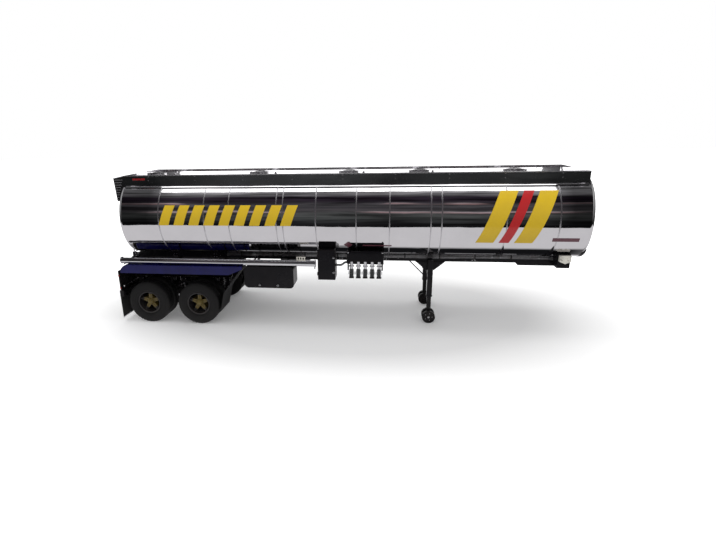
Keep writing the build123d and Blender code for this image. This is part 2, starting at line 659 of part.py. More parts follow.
def make_coupler_plate():
    outer_rib = RAIL_Y + RAIL_T / 2
    with BuildPart() as plate:
        block((PLATE_REAR_X, PLATE_FRONT_X), (-RAIL_OUT_Y, RAIL_OUT_Y), (COUPLER_Z, COUPLER_Z + PLATE_T))
        chamfer(plate.faces().sort_by(Axis.X)[-1].edges().filter_by(Axis.Y).sort_by(Axis.Z)[0],
                PLATE_LEAD_IN)
        for y in (-outer_rib, -RIB_Y, RIB_Y, outer_rib):
            block((PLATE_REAR_X, PLATE_FRONT_X), (y - RIB_T / 2, y + RIB_T / 2),
                  (COUPLER_Z + PLATE_T, RAIL_BOTTOM_Z))
        with Locations((KINGPIN_X, 0, COUPLER_Z + PLATE_T / 2)):
            Cylinder(KINGPIN_SHANK_R, PLATE_T, mode=Mode.SUBTRACT)
    save(plate, "coupler_plate")


def make_kingpin():
    shoulder = COUPLER_Z - KINGPIN_SHANK_L
    collar = shoulder - KINGPIN_NECK_L
    foot = collar - KINGPIN_COLLAR_L
    with BuildPart() as kingpin:
        turned([(0, COUPLER_Z + PLATE_T), (KINGPIN_SHANK_R, COUPLER_Z + PLATE_T),
                (KINGPIN_SHANK_R, shoulder), (KINGPIN_R, shoulder), (KINGPIN_R, collar),
                (KINGPIN_COLLAR_R, collar), (KINGPIN_COLLAR_R, foot), (0, foot)],
               (KINGPIN_X, 0, 0), (0, 0, 1))
    save(kingpin, "kingpin")


def make_front_bolster():
    """Cross beam under the front of the barrel, outboard of and between the rails."""
    reach = (BOLSTER_REAR_X, RAIL_FRONT_X)
    with BuildPart() as bolster:
        block(reach, (-BOLSTER_HALF_W, BOLSTER_HALF_W), (RAIL_BOTTOM_Z, RAIL_BOTTOM_Z + BOLSTER_H))
        for s in SIDES.values():
            block(reach, (s * (RAIL_Y - RAIL_FLANGE_W), s * RAIL_OUT_Y), (RAIL_BOTTOM_Z, BARREL_Z),
                  mode=Mode.SUBTRACT)
        cut_barrel()
    save(bolster, "front_bolster")


def make_front_apron(front_head):
    """A wrapped sheet that hugs the lower part of the front head's dish."""
    with BuildPart() as apron:
        extrude(barrel_section(FRONT_SEAM_X + APRON_LAP), amount=FRONT_X - FRONT_SEAM_X)
        with Locations((FRONT_X - DISH_R + APRON_T, 0, BARREL_Z)):
            Sphere(DISH_R, mode=Mode.INTERSECT)
        add(front_head.part, mode=Mode.SUBTRACT)
        block((FRONT_SEAM_X, FRONT_X), (-APRON_HALF_W, APRON_HALF_W),
              (RAIL_BOTTOM_Z, RAIL_BOTTOM_Z + APRON_H), mode=Mode.INTERSECT)
    save(apron, "front_apron")


def make_gladhand_box():
    """Connection box with a pointed bottom on the bolster's right end, with two couplings."""
    rear, front = BOLSTER_REAR_X + BOX_INSETS[0], RAIL_FRONT_X - BOX_INSETS[1]
    low = RAIL_BOTTOM_Z + BOX_RISE
    face_y = BOLSTER_HALF_W + BOX_DEPTH
    with BuildPart() as box:
        side_plate([(rear, low + BOX_H), (rear, low + BOX_POINT), ((rear + front) / 2, low),
                    (front, low + BOX_POINT), (front, low + BOX_H)], -face_y + BOX_DEPTH / 2, BOX_DEPTH)
        for x in ((3 * rear + front) / 4, (rear + 3 * front) / 4):
            z = low + (BOX_POINT + BOX_H) / 2
            rod((x, -face_y, z), (x, -face_y - COUPLING_L, z), COUPLING_R)
    save(box, "gladhand_box")


# ---------------------------------------------------------------- landing gear
def leg_tube(y, width, z, mode=Mode.ADD):
    """A square tube's outline about a leg's centre line."""
    half = width / 2
    block((LEG_X - half, LEG_X + half), (y - half, y + half), z, mode=mode)


def make_landing_legs():
    """Outer and inner tubes, telescoped, with a cross-wise axle through each foot."""
    inner_top = LEG_SPLIT_Z + LEG_LAP
    reach = FOOT_GAP + FOOT_W + FOOT_AXLE_END
    with BuildPart() as outers:
        for s in SIDES.values():
            leg_tube(s * LEG_Y, LEG_OUTER, (LEG_SPLIT_Z, RAIL_BOTTOM_Z + LEG_HEAD_LAP))
        fillet(outers.edges().filter_by(Axis.Z), LEG_OUTER_CORNER_R)
        for s in SIDES.values():
            leg_tube(s * LEG_Y, LEG_INNER, (LEG_SPLIT_Z, inner_top), mode=Mode.SUBTRACT)
        cut_barrel()
    save(outers, "leg_outer_tubes")
    with BuildPart() as inners:
        for s in SIDES.values():
            y = s * LEG_Y
            leg_tube(y, LEG_INNER, (FOOT_R - LEG_FOOT_DROP, inner_top))
            rod((LEG_X, y - reach, FOOT_R), (LEG_X, y + reach, FOOT_R), FOOT_AXLE_R)
    save(inners, "leg_inner_tubes")


def make_landing_wheels():
    """A pair of small dished steel wheels on each foot's axle."""
    bore = FOOT_AXLE_R + BEARING_CLEARANCE
    outer = FOOT_GAP + FOOT_W
    floor = outer - FOOT_DISH
    for side, s in SIDES.items():
        with BuildPart() as wheels:
            for hand in (-1, 1):
                turned([(bore, FOOT_GAP), (FOOT_R, FOOT_GAP), (FOOT_R, outer), (FOOT_R - FOOT_RIM, outer),
                        (FOOT_R - FOOT_RIM - FOOT_DISH, floor), (FOOT_HUB_R + FOOT_DISH, floor),
                        (FOOT_HUB_R, outer), (bore, outer)], (LEG_X, s * LEG_Y, FOOT_R), (0, hand, 0))
        save(wheels, f"landing_wheels_{side}")


def make_leg_brackets():
    """Tapered gussets from the rails to the legs, with thin rear stays."""
    low = RAIL_BOTTOM_Z - GUSSET_DEPTH
    outer_y = LEG_Y - LEG_OUTER / 2
    with BuildPart() as brackets:
        for s in SIDES.values():
            side_plate([(LEG_X - GUSSET_TOP_HALF, RAIL_BOTTOM_Z), (LEG_X + GUSSET_TOP_HALF, RAIL_BOTTOM_Z),
                        (LEG_X + GUSSET_LOW_HALF, low), (LEG_X - GUSSET_LOW_HALF, low)],
                       s * (outer_y - GUSSET_T / 2), GUSSET_T)
            block((LEG_X - GUSSET_TOP_HALF, LEG_X + GUSSET_TOP_HALF),
                  (s * (RAIL_Y - RAIL_FLANGE_W), s * outer_y), (RAIL_BOTTOM_Z - GUSSET_T, RAIL_BOTTOM_Z))
            rod((LEG_X - STAY_REACH, s * (RAIL_Y - STAY_INSET), RAIL_BOTTOM_Z),
                (LEG_X, s * LEG_Y, SHAFT_Z), STAY_R)
        block((REAR_X, FRONT_X), (-WIDTH / 2, WIDTH / 2), (RAIL_BOTTOM_Z, BARREL_Z), mode=Mode.SUBTRACT)
        for s in SIDES.values():
            leg_tube(s * LEG_Y, LEG_OUTER, (LEG_SPLIT_Z, RAIL_BOTTOM_Z), mode=Mode.SUBTRACT)
    save(brackets, "leg_brackets")


def make_cross_shaft():
    """Winding shaft between the legs, with the gearbox and folded crank on the left."""
    inner = LEG_Y - LEG_OUTER / 2
    box_y = LEG_Y + LEG_OUTER / 2 + GEARBOX_T
    arm_y = box_y + CRANK_OUT
    with BuildPart() as shaft:
        rod((LEG_X, -inner, SHAFT_Z), (LEG_X, inner, SHAFT_Z), SHAFT_R)
    save(shaft, "leg_cross_shaft")
    with BuildPart() as crank:
        block((LEG_X - GEARBOX_HALF_W, LEG_X + GEARBOX_HALF_W), (box_y - GEARBOX_T, box_y),
              (SHAFT_Z - GEARBOX_HALF_H, SHAFT_Z + GEARBOX_HALF_H))
        fillet(crank.edges().filter_by(Axis.Y), GEARBOX_CORNER_R)
        rod((LEG_X, box_y, SHAFT_Z), (LEG_X, arm_y, SHAFT_Z), CRANK_R)
        block((LEG_X - CRANK_R, LEG_X + CRANK_R), (arm_y - CRANK_R, arm_y),
              (SHAFT_Z - CRANK_DROP - CRANK_R, SHAFT_Z + CRANK_R))
        rod((LEG_X, arm_y, SHAFT_Z - CRANK_DROP), (LEG_X, arm_y + CRANK_GRIP, SHAFT_Z - CRANK_DROP),
            CRANK_R)
    save(crank, "landing_crank")


# ---------------------------------------------------------------- running gear
def make_axles():
    tube_end = HUB_IN_Y - AXLE_TO_HUB
    for name, x in AXLE_X.items():
        with BuildPart() as axle:
            rod((x, -tube_end, TYRE_R), (x, tube_end, TYRE_R), AXLE_TUBE_R)
            rod((x, -SPINDLE_END_Y, TYRE_R), (x, SPINDLE_END_Y, TYRE_R), SPINDLE_R)
            for s in SIDES.values():
                make_brake_gear(x, s)
        save(axle, f"axle_{name}")


def make_brake_gear(x, s):
    """Shield, camshaft, lever and air chamber of one axle end, added to the axle being made."""
    y = s * CHAMBER_Y
    cam_x, chamber_x = x - CAMSHAFT_SETBACK, x - CHAMBER_SETBACK
    chamber_z = TYRE_R + CHAMBER_RISE
    shield_y = s * (DRUM_IN_Y - SHIELD_GAP)
    bracket = (y + s * CHAMBER_BRACKET_Y, y + s * (CHAMBER_BRACKET_Y + CHAMBER_BRACKET_T))
    rod((x, shield_y - s * SHIELD_T, TYRE_R), (x, shield_y, TYRE_R), SHIELD_R)
    rod((cam_x, y, TYRE_R), (cam_x, shield_y, TYRE_R), CAMSHAFT_R)
    block((cam_x - LEVER_HALF_L, cam_x + LEVER_HALF_L), (y - LEVER_HALF_W, y + LEVER_HALF_W),
          (TYRE_R - LEVER_HALF_L, chamber_z + LEVER_HALF_L))
    rod((cam_x, y, chamber_z), (chamber_x, y, chamber_z), PUSHROD_R)
    rod((chamber_x, y, chamber_z), (chamber_x - CHAMBER_L, y, chamber_z), CHAMBER_R)
    block((chamber_x - CHAMBER_BRACKET_T, x), bracket, (TYRE_R - CHAMBER_BRACKET_DROP, chamber_z))


def make_wheels():
    """Cast spoke centres with their brake drum and rims, and the twin tyres."""
    drop, bevel = TYRE_SHOULDER
    for axle, x in AXLE_X.items():
        for side, s in SIDES.items():
            with BuildPart() as wheel:
                make_wheel_centre(x, s)
            save(wheel, f"wheel_{axle}_{side}")
            with BuildPart() as tyres:
                for y in (OUTER_TYRE_Y, INNER_TYRE_Y):
                    wall, bead = TYRE_W / 2, TYRE_W / 2 - TYRE_BEAD_INSET
                    turned([(RIM_R, y - bead), (TYRE_R - drop, y - wall), (TYRE_R, y - wall + bevel),
                            (TYRE_R, y + wall - bevel), (TYRE_R - drop, y + wall), (RIM_R, y + bead)],
                           (x, 0, TYRE_R), (0, s, 0))
            save(tyres, f"tyres_{axle}_{side}")


def make_wheel_centre(x, s):
    """Hub, drum, rims and cast spokes about one axle end, added to the wheel being made."""
    bore = SPINDLE_R + BEARING_CLEARANCE
    bore_end = SPINDLE_END_Y + SPINDLE_END_GAP
    web_y = DRUM_OUT_Y - DRUM_T
    turned([(bore, HUB_IN_Y), (HUB_R, HUB_IN_Y), (HUB_R, web_y), (DRUM_R - DRUM_T, web_y),
            (DRUM_R - DRUM_T, DRUM_IN_Y), (DRUM_R, DRUM_IN_Y), (DRUM_R, DRUM_OUT_Y), (HUB_R, DRUM_OUT_Y),
            (HUB_R, OUTER_TYRE_Y + SPOKE_FACE), (HUB_NOSE_R, HUB_OUT_Y), (0, HUB_OUT_Y), (0, bore_end),
            (bore, bore_end)], (x, 0, TYRE_R), (0, s, 0))
    rim_in = INNER_TYRE_Y - TYRE_W / 2 + TYRE_BEAD_INSET
    rim_out = OUTER_TYRE_Y + TYRE_W / 2 - TYRE_BEAD_INSET
    turned([(RIM_R, rim_in), (RIM_R, rim_out), (RIM_R - RIM_T, rim_out), (RIM_R - RIM_T, rim_in)],
           (x, 0, TYRE_R), (0, s, 0))
    tip = RIM_R - SPOKE_RIM_GAP
    face = (x, s * (OUTER_TYRE_Y + SPOKE_FACE), TYRE_R)
    for k in range(SPOKES):
        angle = radians(90 + k * 360 / SPOKES)
        with BuildSketch(Plane(origin=face, x_dir=(cos(angle), 0, sin(angle)), z_dir=(0, -s, 0))) as spoke:
            with BuildLine():
                Polyline((SPOKE_ROOT_R, -SPOKE_ROOT_W / 2), (tip, -SPOKE_TIP_W / 2),
                         (tip, SPOKE_TIP_W / 2), (SPOKE_ROOT_R, SPOKE_ROOT_W / 2), close=True)
            make_face()
        extrude(spoke.sketch, amount=SPOKE_DEPTH)


# ---------------------------------------------------------------- suspension
def below_centre(x, radius, angle):
    """A point on a spring's arc, an angle away from the arc's lowest point."""
    return (x + radius * sin(angle), LEAF_CENTRE_Z - radius * cos(angle))


def make_leaf(x, y, number):
    """One leaf, curved up towards its ends, added to the springs being made."""
    inner = LEAF_R + number * LEAF_T
    outer = inner + LEAF_T
    angle = asin(LEAF_HALVES[number] / LEAF_R)
    with BuildSketch(Plane.XZ.offset(-y - SPRING_W / 2)) as face:
        with BuildLine():
            ThreePointArc(*[below_centre(x, inner, a) for a in (-angle, 0, angle)])
            Line(below_centre(x, inner, angle), below_centre(x, outer, angle))
            ThreePointArc(*[below_centre(x, outer, a) for a in (angle, 0, -angle)])
            Line(below_centre(x, outer, -angle), below_centre(x, inner, -angle))
        make_face()
    extrude(face.sketch, amount=SPRING_W)


def make_leaf_springs():
    """Three-leaf springs on their axle seats, each with a radius rod to the hanger ahead."""
    seat_z = LEAF_LOW_Z + LEAF_T / 2
    eye_z = HANGER_LOW_Z + ROD_PIN_RISE
    with BuildPart() as springs:
        for x, eye_x in zip(sorted(AXLE_X.values()), HANGER_X[1:]):
            for s in SIDES.values():
                y = s * SPRING_Y
                for number in range(len(LEAF_HALVES)):
                    make_leaf(x, y, number)
                block((x - SEAT_HALF, x + SEAT_HALF), (y - SPRING_W / 2, y + SPRING_W / 2), (TYRE_R, seat_z))
                rod((x + AXLE_TUBE_R, y, TYRE_R + ROD_RISE), (eye_x, y, eye_z), ROD_R)
                rod((eye_x, y - ROD_EYE_HALF, eye_z), (eye_x, y + ROD_EYE_HALF, eye_z), ROD_EYE_R)
            rod((eye_x, -TWIN_Y, eye_z), (eye_x, TWIN_Y, eye_z), ROD_PIN_R + ROD_PIN_GAP, mode=Mode.SUBTRACT)
            rod((x, -TWIN_Y, TYRE_R), (x, TWIN_Y, TYRE_R), AXLE_TUBE_R, mode=Mode.SUBTRACT)
    save(springs, "leaf_springs")


def wear_pads(x):
    """Blocks whose undersides are curved to sit on the four leaf ends of one axle."""
    pad_half = HANGER_HALF_W - HANGER_PLATE_T
    end = LEAF_HALVES[0]
    with BuildPart() as pads:
        for y in (-SPRING_Y, SPRING_Y):
            for hand in (-1, 1):
                block((x + hand * (end - WEAR_PAD_L), x + hand * end), (y - pad_half, y + pad_half),
                      (LEAF_TOP_Z, LEAF_END_Z + WEAR_PAD_H))
        rod((x, -TWIN_Y, LEAF_CENTRE_Z), (x, TWIN_Y, LEAF_CENTRE_Z), LEAF_R, mode=Mode.INTERSECT)
    return pads.part


def make_spring_hangers():
    """Hangers in plate pairs, the middle ones with a rocker that joins the two springs."""
    gap_half = AXLE_SPREAD / 2 - LEAF_HALVES[0]
    rocker_half = gap_half + WEAR_PAD_L
    eye_z = HANGER_LOW_Z + ROD_PIN_RISE
    rocker_z = LEAF_END_Z + EQUALIZER_H / 2
    middle = HANGER_X[1]
    with BuildPart() as hangers:
        for s in SIDES.values():
            y = s * SPRING_Y
            for x in HANGER_X:
                reach = (x - HANGER_HALF_L, x + HANGER_HALF_L)
                for edge in (-HANGER_HALF_W, HANGER_HALF_W - HANGER_PLATE_T):
                    block(reach, (y + edge, y + edge + HANGER_PLATE_T), (HANGER_LOW_Z, BOGIE_Z))
                block(reach, (y - HANGER_HALF_W, y + HANGER_HALF_W), (BOGIE_Z - HANGER_PLATE_T, BOGIE_Z))
            for x in HANGER_X[1:]:
                rod((x, y - HANGER_HALF_W, eye_z), (x, y + HANGER_HALF_W, eye_z), ROD_PIN_R)
            side_plate([(middle - rocker_half, LEAF_END_Z), (middle + rocker_half, LEAF_END_Z),
                        (middle + rocker_half, LEAF_END_Z + WEAR_PAD_H),
                        (middle + EQUALIZER_TOP_HALF, LEAF_END_Z + EQUALIZER_H),
                        (middle - EQUALIZER_TOP_HALF, LEAF_END_Z + EQUALIZER_H),
                        (middle - rocker_half, LEAF_END_Z + WEAR_PAD_H)], y, 2 * EQUALIZER_HALF_W)
            pin_half = HANGER_HALF_W + EQUALIZER_PIN_PROUD
            rod((middle, y - pin_half, rocker_z), (middle, y + pin_half, rocker_z), EQUALIZER_PIN_R)
        for x in AXLE_X.values():
            add(wear_pads(x))
    save(hangers, "spring_hangers")


def make_suspension_subframe():
    """Deep webs under the rails with foot flanges, round openings and cross ties."""
    rear, front = HANGER_X[0] - BOGIE_PAST_HANGERS, HANGER_X[2] + BOGIE_PAST_HANGERS
    with BuildPart() as subframe:
        for s in SIDES.values():
            y = s * SPRING_Y
            side_plate([(rear, BOGIE_Z), (front, BOGIE_Z), (front + BOGIE_SWEEP, RAIL_BOTTOM_Z),
                        (rear, RAIL_BOTTOM_Z)], y, BOGIE_T)
            block((rear, front), (y - BOGIE_FLANGE_W / 2, y + BOGIE_FLANGE_W / 2),
                  (BOGIE_Z, BOGIE_Z + BOGIE_T))
        for x in ((HANGER_X[0] + HANGER_X[1]) / 2, (HANGER_X[1] + HANGER_X[2]) / 2):
            z = (BOGIE_Z + RAIL_BOTTOM_Z) / 2
            rod((x, -TWIN_Y, z), (x, TWIN_Y, z), BOGIE_HOLE_R, mode=Mode.SUBTRACT)
        for x in HANGER_X:
            block((x - BOGIE_TIE_W / 2, x + BOGIE_TIE_W / 2), (-SPRING_Y, SPRING_Y),
                  (BOGIE_Z + BOGIE_T, BOGIE_Z + BOGIE_TIE_TOP))
    save(subframe, "suspension_subframe")


def make_air_tank():
    """Brake air reservoir hung from the left rail by two straps."""
    z = RAIL_BOTTOM_Z - TANK_DROP
    rear = REAR_X + TANK_STATION
    with BuildPart() as tank:
        rod((rear, TANK_Y, z), (rear + TANK_L, TANK_Y, z), TANK_R)
        fillet(tank.edges().filter_by(GeomType.CIRCLE), TANK_END_R)
        for x in (rear + TANK_STRAP_INSET, rear + TANK_L - TANK_STRAP_INSET - TANK_STRAP_W):
            strap = (x, x + TANK_STRAP_W)
            rod((x, TANK_Y, z), (x + TANK_STRAP_W, TANK_Y, z), TANK_R + TANK_STRAP_T)
            block(strap, (TANK_Y - TANK_STRAP_T, TANK_Y + TANK_STRAP_T), (z, RAIL_BOTTOM_Z))
            block(strap, (TANK_Y - TANK_STRAP_T, RAIL_Y), (RAIL_BOTTOM_Z - TANK_STRAP_T, RAIL_BOTTOM_Z))
    save(tank, "air_tank")


# ---------------------------------------------------------------- fenders and tail
def rear_top_edge(builder):
    """The highest cross-wise edge at the rear of the piece being made."""
    return builder.edges().filter_by(Axis.Y).group_by(Axis.Z)[-1].sort_by(Axis.X)[0]


def make_fenders():
    """Shells with a rounded rear corner, a swept front and a folded lower edge."""
    for side, s in SIDES.items():
        inner, outer = s * FENDER_IN_Y, s * WIDTH / 2
        sweep_x = FENDER_FRONT_X - FENDER_SWEEP
        with BuildPart() as hollow:
            block((FENDER_REAR_X + FENDER_T, FENDER_FRONT_X), (inner, outer - s * FENDER_T),
                  (FENDER_LOW_Z, FENDER_TOP_Z - FENDER_T))
            fillet(rear_top_edge(hollow), FENDER_CORNER_R - FENDER_T)
        with BuildPart() as fender:
            side_plate([(FENDER_REAR_X, FENDER_LOW_Z), (FENDER_REAR_X, FENDER_TOP_Z),
                        (FENDER_FRONT_X, FENDER_TOP_Z), (FENDER_FRONT_X, FENDER_TOP_Z - FENDER_LIP_H),
                        (sweep_x, FENDER_LOW_Z)], (inner + outer) / 2, abs(outer - inner))
            fillet(rear_top_edge(fender), FENDER_CORNER_R)
            add(hollow.part, mode=Mode.SUBTRACT)
            block((FENDER_REAR_X, sweep_x), (outer - s * FENDER_RETURN_W, outer),
                  (FENDER_LOW_Z, FENDER_LOW_Z + FENDER_T))
        save(fender, f"fender_{side}")


def make_splash_guards():
    """Guards that run down from the fenders' front ends, ahead of the front tyres."""
    top_x, top_z = FENDER_FRONT_X - GUARD_INSET, FENDER_TOP_Z - FENDER_T
    bend = (top_x, top_z - GUARD_DROP)
    knee = (bend[0] + GUARD_KNEE[0], bend[1] + GUARD_KNEE[1])
    foot = (knee[0] + GUARD_FOOT[0], knee[1] + GUARD_FOOT[1])
    outer = WIDTH / 2 - FENDER_T - GUARD_SIDE_GAP
    face = [(top_x, top_z), bend, knee, foot]
    back = [(x - GUARD_T, z) for x, z in reversed(face)]
    with BuildPart() as guards:
        for s in SIDES.values():
            side_plate(face + back, s * (outer + FENDER_IN_Y) / 2, outer - FENDER_IN_Y)
    save(guards, "splash_guards")


def make_mudflaps():
    with BuildPart() as flaps:
        for s in SIDES.values():
            block((REAR_X, REAR_X + FLAP_T), (s * FLAP_IN_Y, s * FLAP_OUT_Y),
                  (FLAP_BOTTOM_Z, FLAP_TOP_Z))
    save(flaps, "mudflaps")


def make_rear_bumper():
    """Cross bar hung from the rails, carrying the mudflaps and a lamp panel each side."""
    depth = (REAR_X + FLAP_T, REAR_X + FLAP_T + BUMPER_D)
    panel = (PANEL_X, PANEL_X + PANEL_T)
    with BuildPart() as bumper:
        block(depth, (-FLAP_OUT_Y, FLAP_OUT_Y), (BUMPER_Z, FLAP_TOP_Z))
        for s in SIDES.values():
            edge = (s * (FLAP_OUT_Y - PANEL_T), s * FLAP_OUT_Y)
            block(depth, (s * BUMPER_HANGER_Y, s * RAIL_OUT_Y), (FLAP_TOP_Z, RAIL_BOTTOM_Z))
            block(panel, (s * RAIL_OUT_Y, s * FLAP_OUT_Y), (FLAP_TOP_Z, LAMP_TOP_Z))
            block((PANEL_X, PANEL_X + PANEL_FLANGE), edge, (FLAP_TOP_Z, LAMP_TOP_Z))
            block((PANEL_X, PANEL_X + PANEL_FLANGE), (s * RAIL_OUT_Y, s * FLAP_OUT_Y),
                  (LAMP_TOP_Z - PANEL_T, LAMP_TOP_Z))
    save(bumper, "rear_bumper")


def make_tail_lamps():
    z = LAMP_TOP_Z - LAMP_DROP
    with BuildPart() as lamps:
        for s in SIDES.values():
            for k in range(LAMPS):
                y = s * (FLAP_OUT_Y - LAMP_EDGE - LAMP_PITCH * k)
                rod((PANEL_X, y, z), (REAR_X + LAMP_REAR_INSET, y, z), LAMP_R)
    save(lamps, "tail_lamps")


def make_ladder(rear_head):
    """Rear ladder standing on the bumper, stayed to the head and to the deck's end plate."""
    x = (REAR_X + FLAP_T, REAR_X + FLAP_T + LADDER_RAIL_D)
    middle = sum(x) / 2
    top = COAMING_TOP_Z - LADDER_TOP_DROP
    with BuildPart() as ladder:
        for y in LADDER_Y:
            side = (y - LADDER_RAIL_T / 2, y + LADDER_RAIL_T / 2)
            block(x, side, (FLAP_TOP_Z, top))
            block((middle, COAMING_REAR_X), side, (top - LADDER_STAY_H, top))
            for z in LADDER_STAY_Z:
                block((middle, REAR_SEAM_X), side, (z, z + LADDER_STAY_H))
        for k in range(LADDER_RUNGS):
            z = FLAP_TOP_Z + LADDER_FIRST_RUNG + k * LADDER_PITCH
            rod((middle, LADDER_Y[0], z), (middle, LADDER_Y[1], z), LADDER_RUNG_R)
        add(rear_head.part, mode=Mode.SUBTRACT)
    save(ladder, "rear_ladder")


# ---------------------------------------------------------------- hose tube, cabinets, valves
def make_outriggers():
    """Arms from the rails: under the fenders and the hose tube, to the locker and the cabinet."""
    outer = TUBE_Y + CRADLE_SIDE
    top = TUBE_Z - CRADLE_DROP
    with BuildPart() as outriggers:
        for x in OUTRIGGER_X:
            sides = SIDES.values() if x < FENDER_FRONT_X else (SIDES["right"],)
            for s in sides:
                with BuildSketch(Plane.YZ.offset(x - OUTRIGGER_T / 2)) as arm:
                    with BuildLine():
                        Polyline((s * RAIL_OUT_Y, RAIL_BOTTOM_Z), (s * FENDER_IN_Y, FENDER_TOP_Z),
                                 (s * outer, FENDER_TOP_Z), (s * outer, top), (s * RAIL_OUT_Y, top),
                                 close=True)
                    make_face()
                extrude(arm.sketch, amount=OUTRIGGER_T)
        rod((TUBE_REAR_X, -TUBE_Y, TUBE_Z), (TUBE_FRONT_X, -TUBE_Y, TUBE_Z), TUBE_R, mode=Mode.SUBTRACT)
        for x in (LOCKER_X[0] + LOCKER_ARM_INSET, LOCKER_X[1] - LOCKER_ARM_INSET):
            block((x - OUTRIGGER_T / 2, x + OUTRIGGER_T / 2), (-LOCKER_ARM_REACH, -RAIL_OUT_Y),
                  (LOCKER_Z[1], LOCKER_Z[1] + LOCKER_ARM_H))
        for x in (CABINET_X[0] + CABINET_ARM_INSET, CABINET_X[1] - CABINET_ARM_INSET):
            block((x - OUTRIGGER_T / 2, x + OUTRIGGER_T / 2), (-CABINET_IN_Y, -RAIL_OUT_Y),
                  (RAIL_BOTTOM_Z, RAIL_BOTTOM_Z + CABINET_ARM_H))
        cut_barrel()
    save(outriggers, "outriggers")


def make_moving_knuckle(across):
    """Strap, knuckle and pin of a hinge; across has x to the leaf's edge and y out of the face."""
    reach = 2 * HINGE_LUG_L + HINGE_LUG_GAP
    with BuildSketch(across.offset(-HINGE_LUG_L)) as strap:
        with BuildLine():
            Polyline((-HINGE_STRAP, DOOR_GAP), (HINGE_OFFSET, DOOR_GAP), (HINGE_OFFSET, HINGE_OFFSET),
                     (-HINGE_STRAP, HINGE_OFFSET), close=True)
        make_face()
        with Locations((HINGE_OFFSET, HINGE_OFFSET)):
            Circle(HINGE_R)
    extrude(strap.sketch, amount=2 * HINGE_LUG_L)
    with BuildSketch(across.offset(-reach)) as pin:
        with Locations((HINGE_OFFSET, HINGE_OFFSET)):
            Circle(HINGE_PIN_R)
    extrude(pin.sketch, amount=2 * reach)


def make_fixed_lugs(across):
    """The two bored lugs of a hinge, rooted inside the edge that carries them."""
    for start in (-2 * HINGE_LUG_L - HINGE_LUG_GAP, HINGE_LUG_L + HINGE_LUG_GAP):
        with BuildSketch(across.offset(start)) as lug:
            with BuildLine():
                Polyline((-HINGE_ROOT, -HINGE_BACK), (HINGE_TOP, -HINGE_BACK), (HINGE_TOP, HINGE_OFFSET),
                         (HINGE_RELIEF, HINGE_OFFSET), (HINGE_RELIEF, -HINGE_RELIEF),
                         (-HINGE_ROOT, -HINGE_RELIEF), close=True)
            make_face()
            with Locations((HINGE_OFFSET, HINGE_OFFSET)):
                Circle(HINGE_R)
                Circle(HINGE_PIN_R + PIN_CLEARANCE, mode=Mode.SUBTRACT)
        extrude(lug.sketch, amount=HINGE_LUG_L)


def make_hose_tube():
    """Open-ended tube for the delivery hoses and the cap hinged above its rear end."""
    across = Plane(origin=(TUBE_REAR_X, -TUBE_Y, TUBE_Z + TUBE_R), x_dir=(0, 0, 1), z_dir=(0, -1, 0))
    cap_x = TUBE_REAR_X - CAP_GAP
    with BuildPart() as tube:
        rod((TUBE_REAR_X, -TUBE_Y, TUBE_Z), (TUBE_FRONT_X, -TUBE_Y, TUBE_Z), TUBE_R)
        make_fixed_lugs(across)
        rod((TUBE_REAR_X, -TUBE_Y, TUBE_Z), (TUBE_FRONT_X - TUBE_T, -TUBE_Y, TUBE_Z),
            TUBE_R - TUBE_T, mode=Mode.SUBTRACT)
    save(tube, "hose_tube")
    with BuildPart() as cap:
        rod((cap_x, -TUBE_Y, TUBE_Z), (cap_x - CAP_T, -TUBE_Y, TUBE_Z), TUBE_R)
        make_moving_knuckle(across)
    save(cap, "hose_tube_cap")


def rounded_slab(x, z, y, corner, inset=0.0):
    """A slab with rounded corners seen from the side, from one y value out to another."""
    with BuildPart() as slab:
        with BuildSketch(Plane.XZ.offset(-y[0])) as outline:
            with Locations((sum(x) / 2, sum(z) / 2)):
                RectangleRounded(x[1] - x[0] - 2 * inset, z[1] - z[0] - 2 * inset, corner - inset)
        extrude(outline.sketch, amount=y[0] - y[1])
    return slab.part


def make_cabinet(name, x, z, in_y, corner, hinges):
    """An open-fronted box with rounded corners, and the flat door hinged on its edge."""
    with BuildPart() as hollow:
        add(rounded_slab(x, z, (-in_y - CABINET_WALL, -CABINET_OUT_Y), corner, CABINET_WALL))
        cut_barrel(CABINET_WALL)
    with BuildPart() as cabinet:
        add(rounded_slab(x, z, (-in_y, -CABINET_OUT_Y), corner))
        for across in hinges:
            make_fixed_lugs(across)
        cut_barrel()
        add(hollow.part, mode=Mode.SUBTRACT)
    save(cabinet, name)
    with BuildPart() as door:
        add(rounded_slab(x, z, (-CABINET_OUT_Y - DOOR_GAP, -CABINET_OUT_Y - DOOR_GAP - DOOR_T), corner))
        for across in hinges:
            make_moving_knuckle(across)
    save(door, f"{name}_door")


def make_cabinets():
    upright = [Plane(origin=(CABINET_X[0], -CABINET_OUT_Y, z), x_dir=(-1, 0, 0), z_dir=(0, 0, 1))
               for z in CABINET_HINGE_Z]
    make_cabinet("valve_cabinet", CABINET_X, CABINET_Z, CABINET_IN_Y, CABINET_CORNER_R, upright)
    level = [Plane(origin=(x, -CABINET_OUT_Y, LOCKER_Z[1]), x_dir=(0, 0, 1), z_dir=(1, 0, 0))
             for x in (LOCKER_X[0] + LOCKER_HINGE_INSET, LOCKER_X[1] - LOCKER_HINGE_INSET)]
    make_cabinet("locker", LOCKER_X, LOCKER_Z, LOCKER_IN_Y, LOCKER_CORNER_R, level)


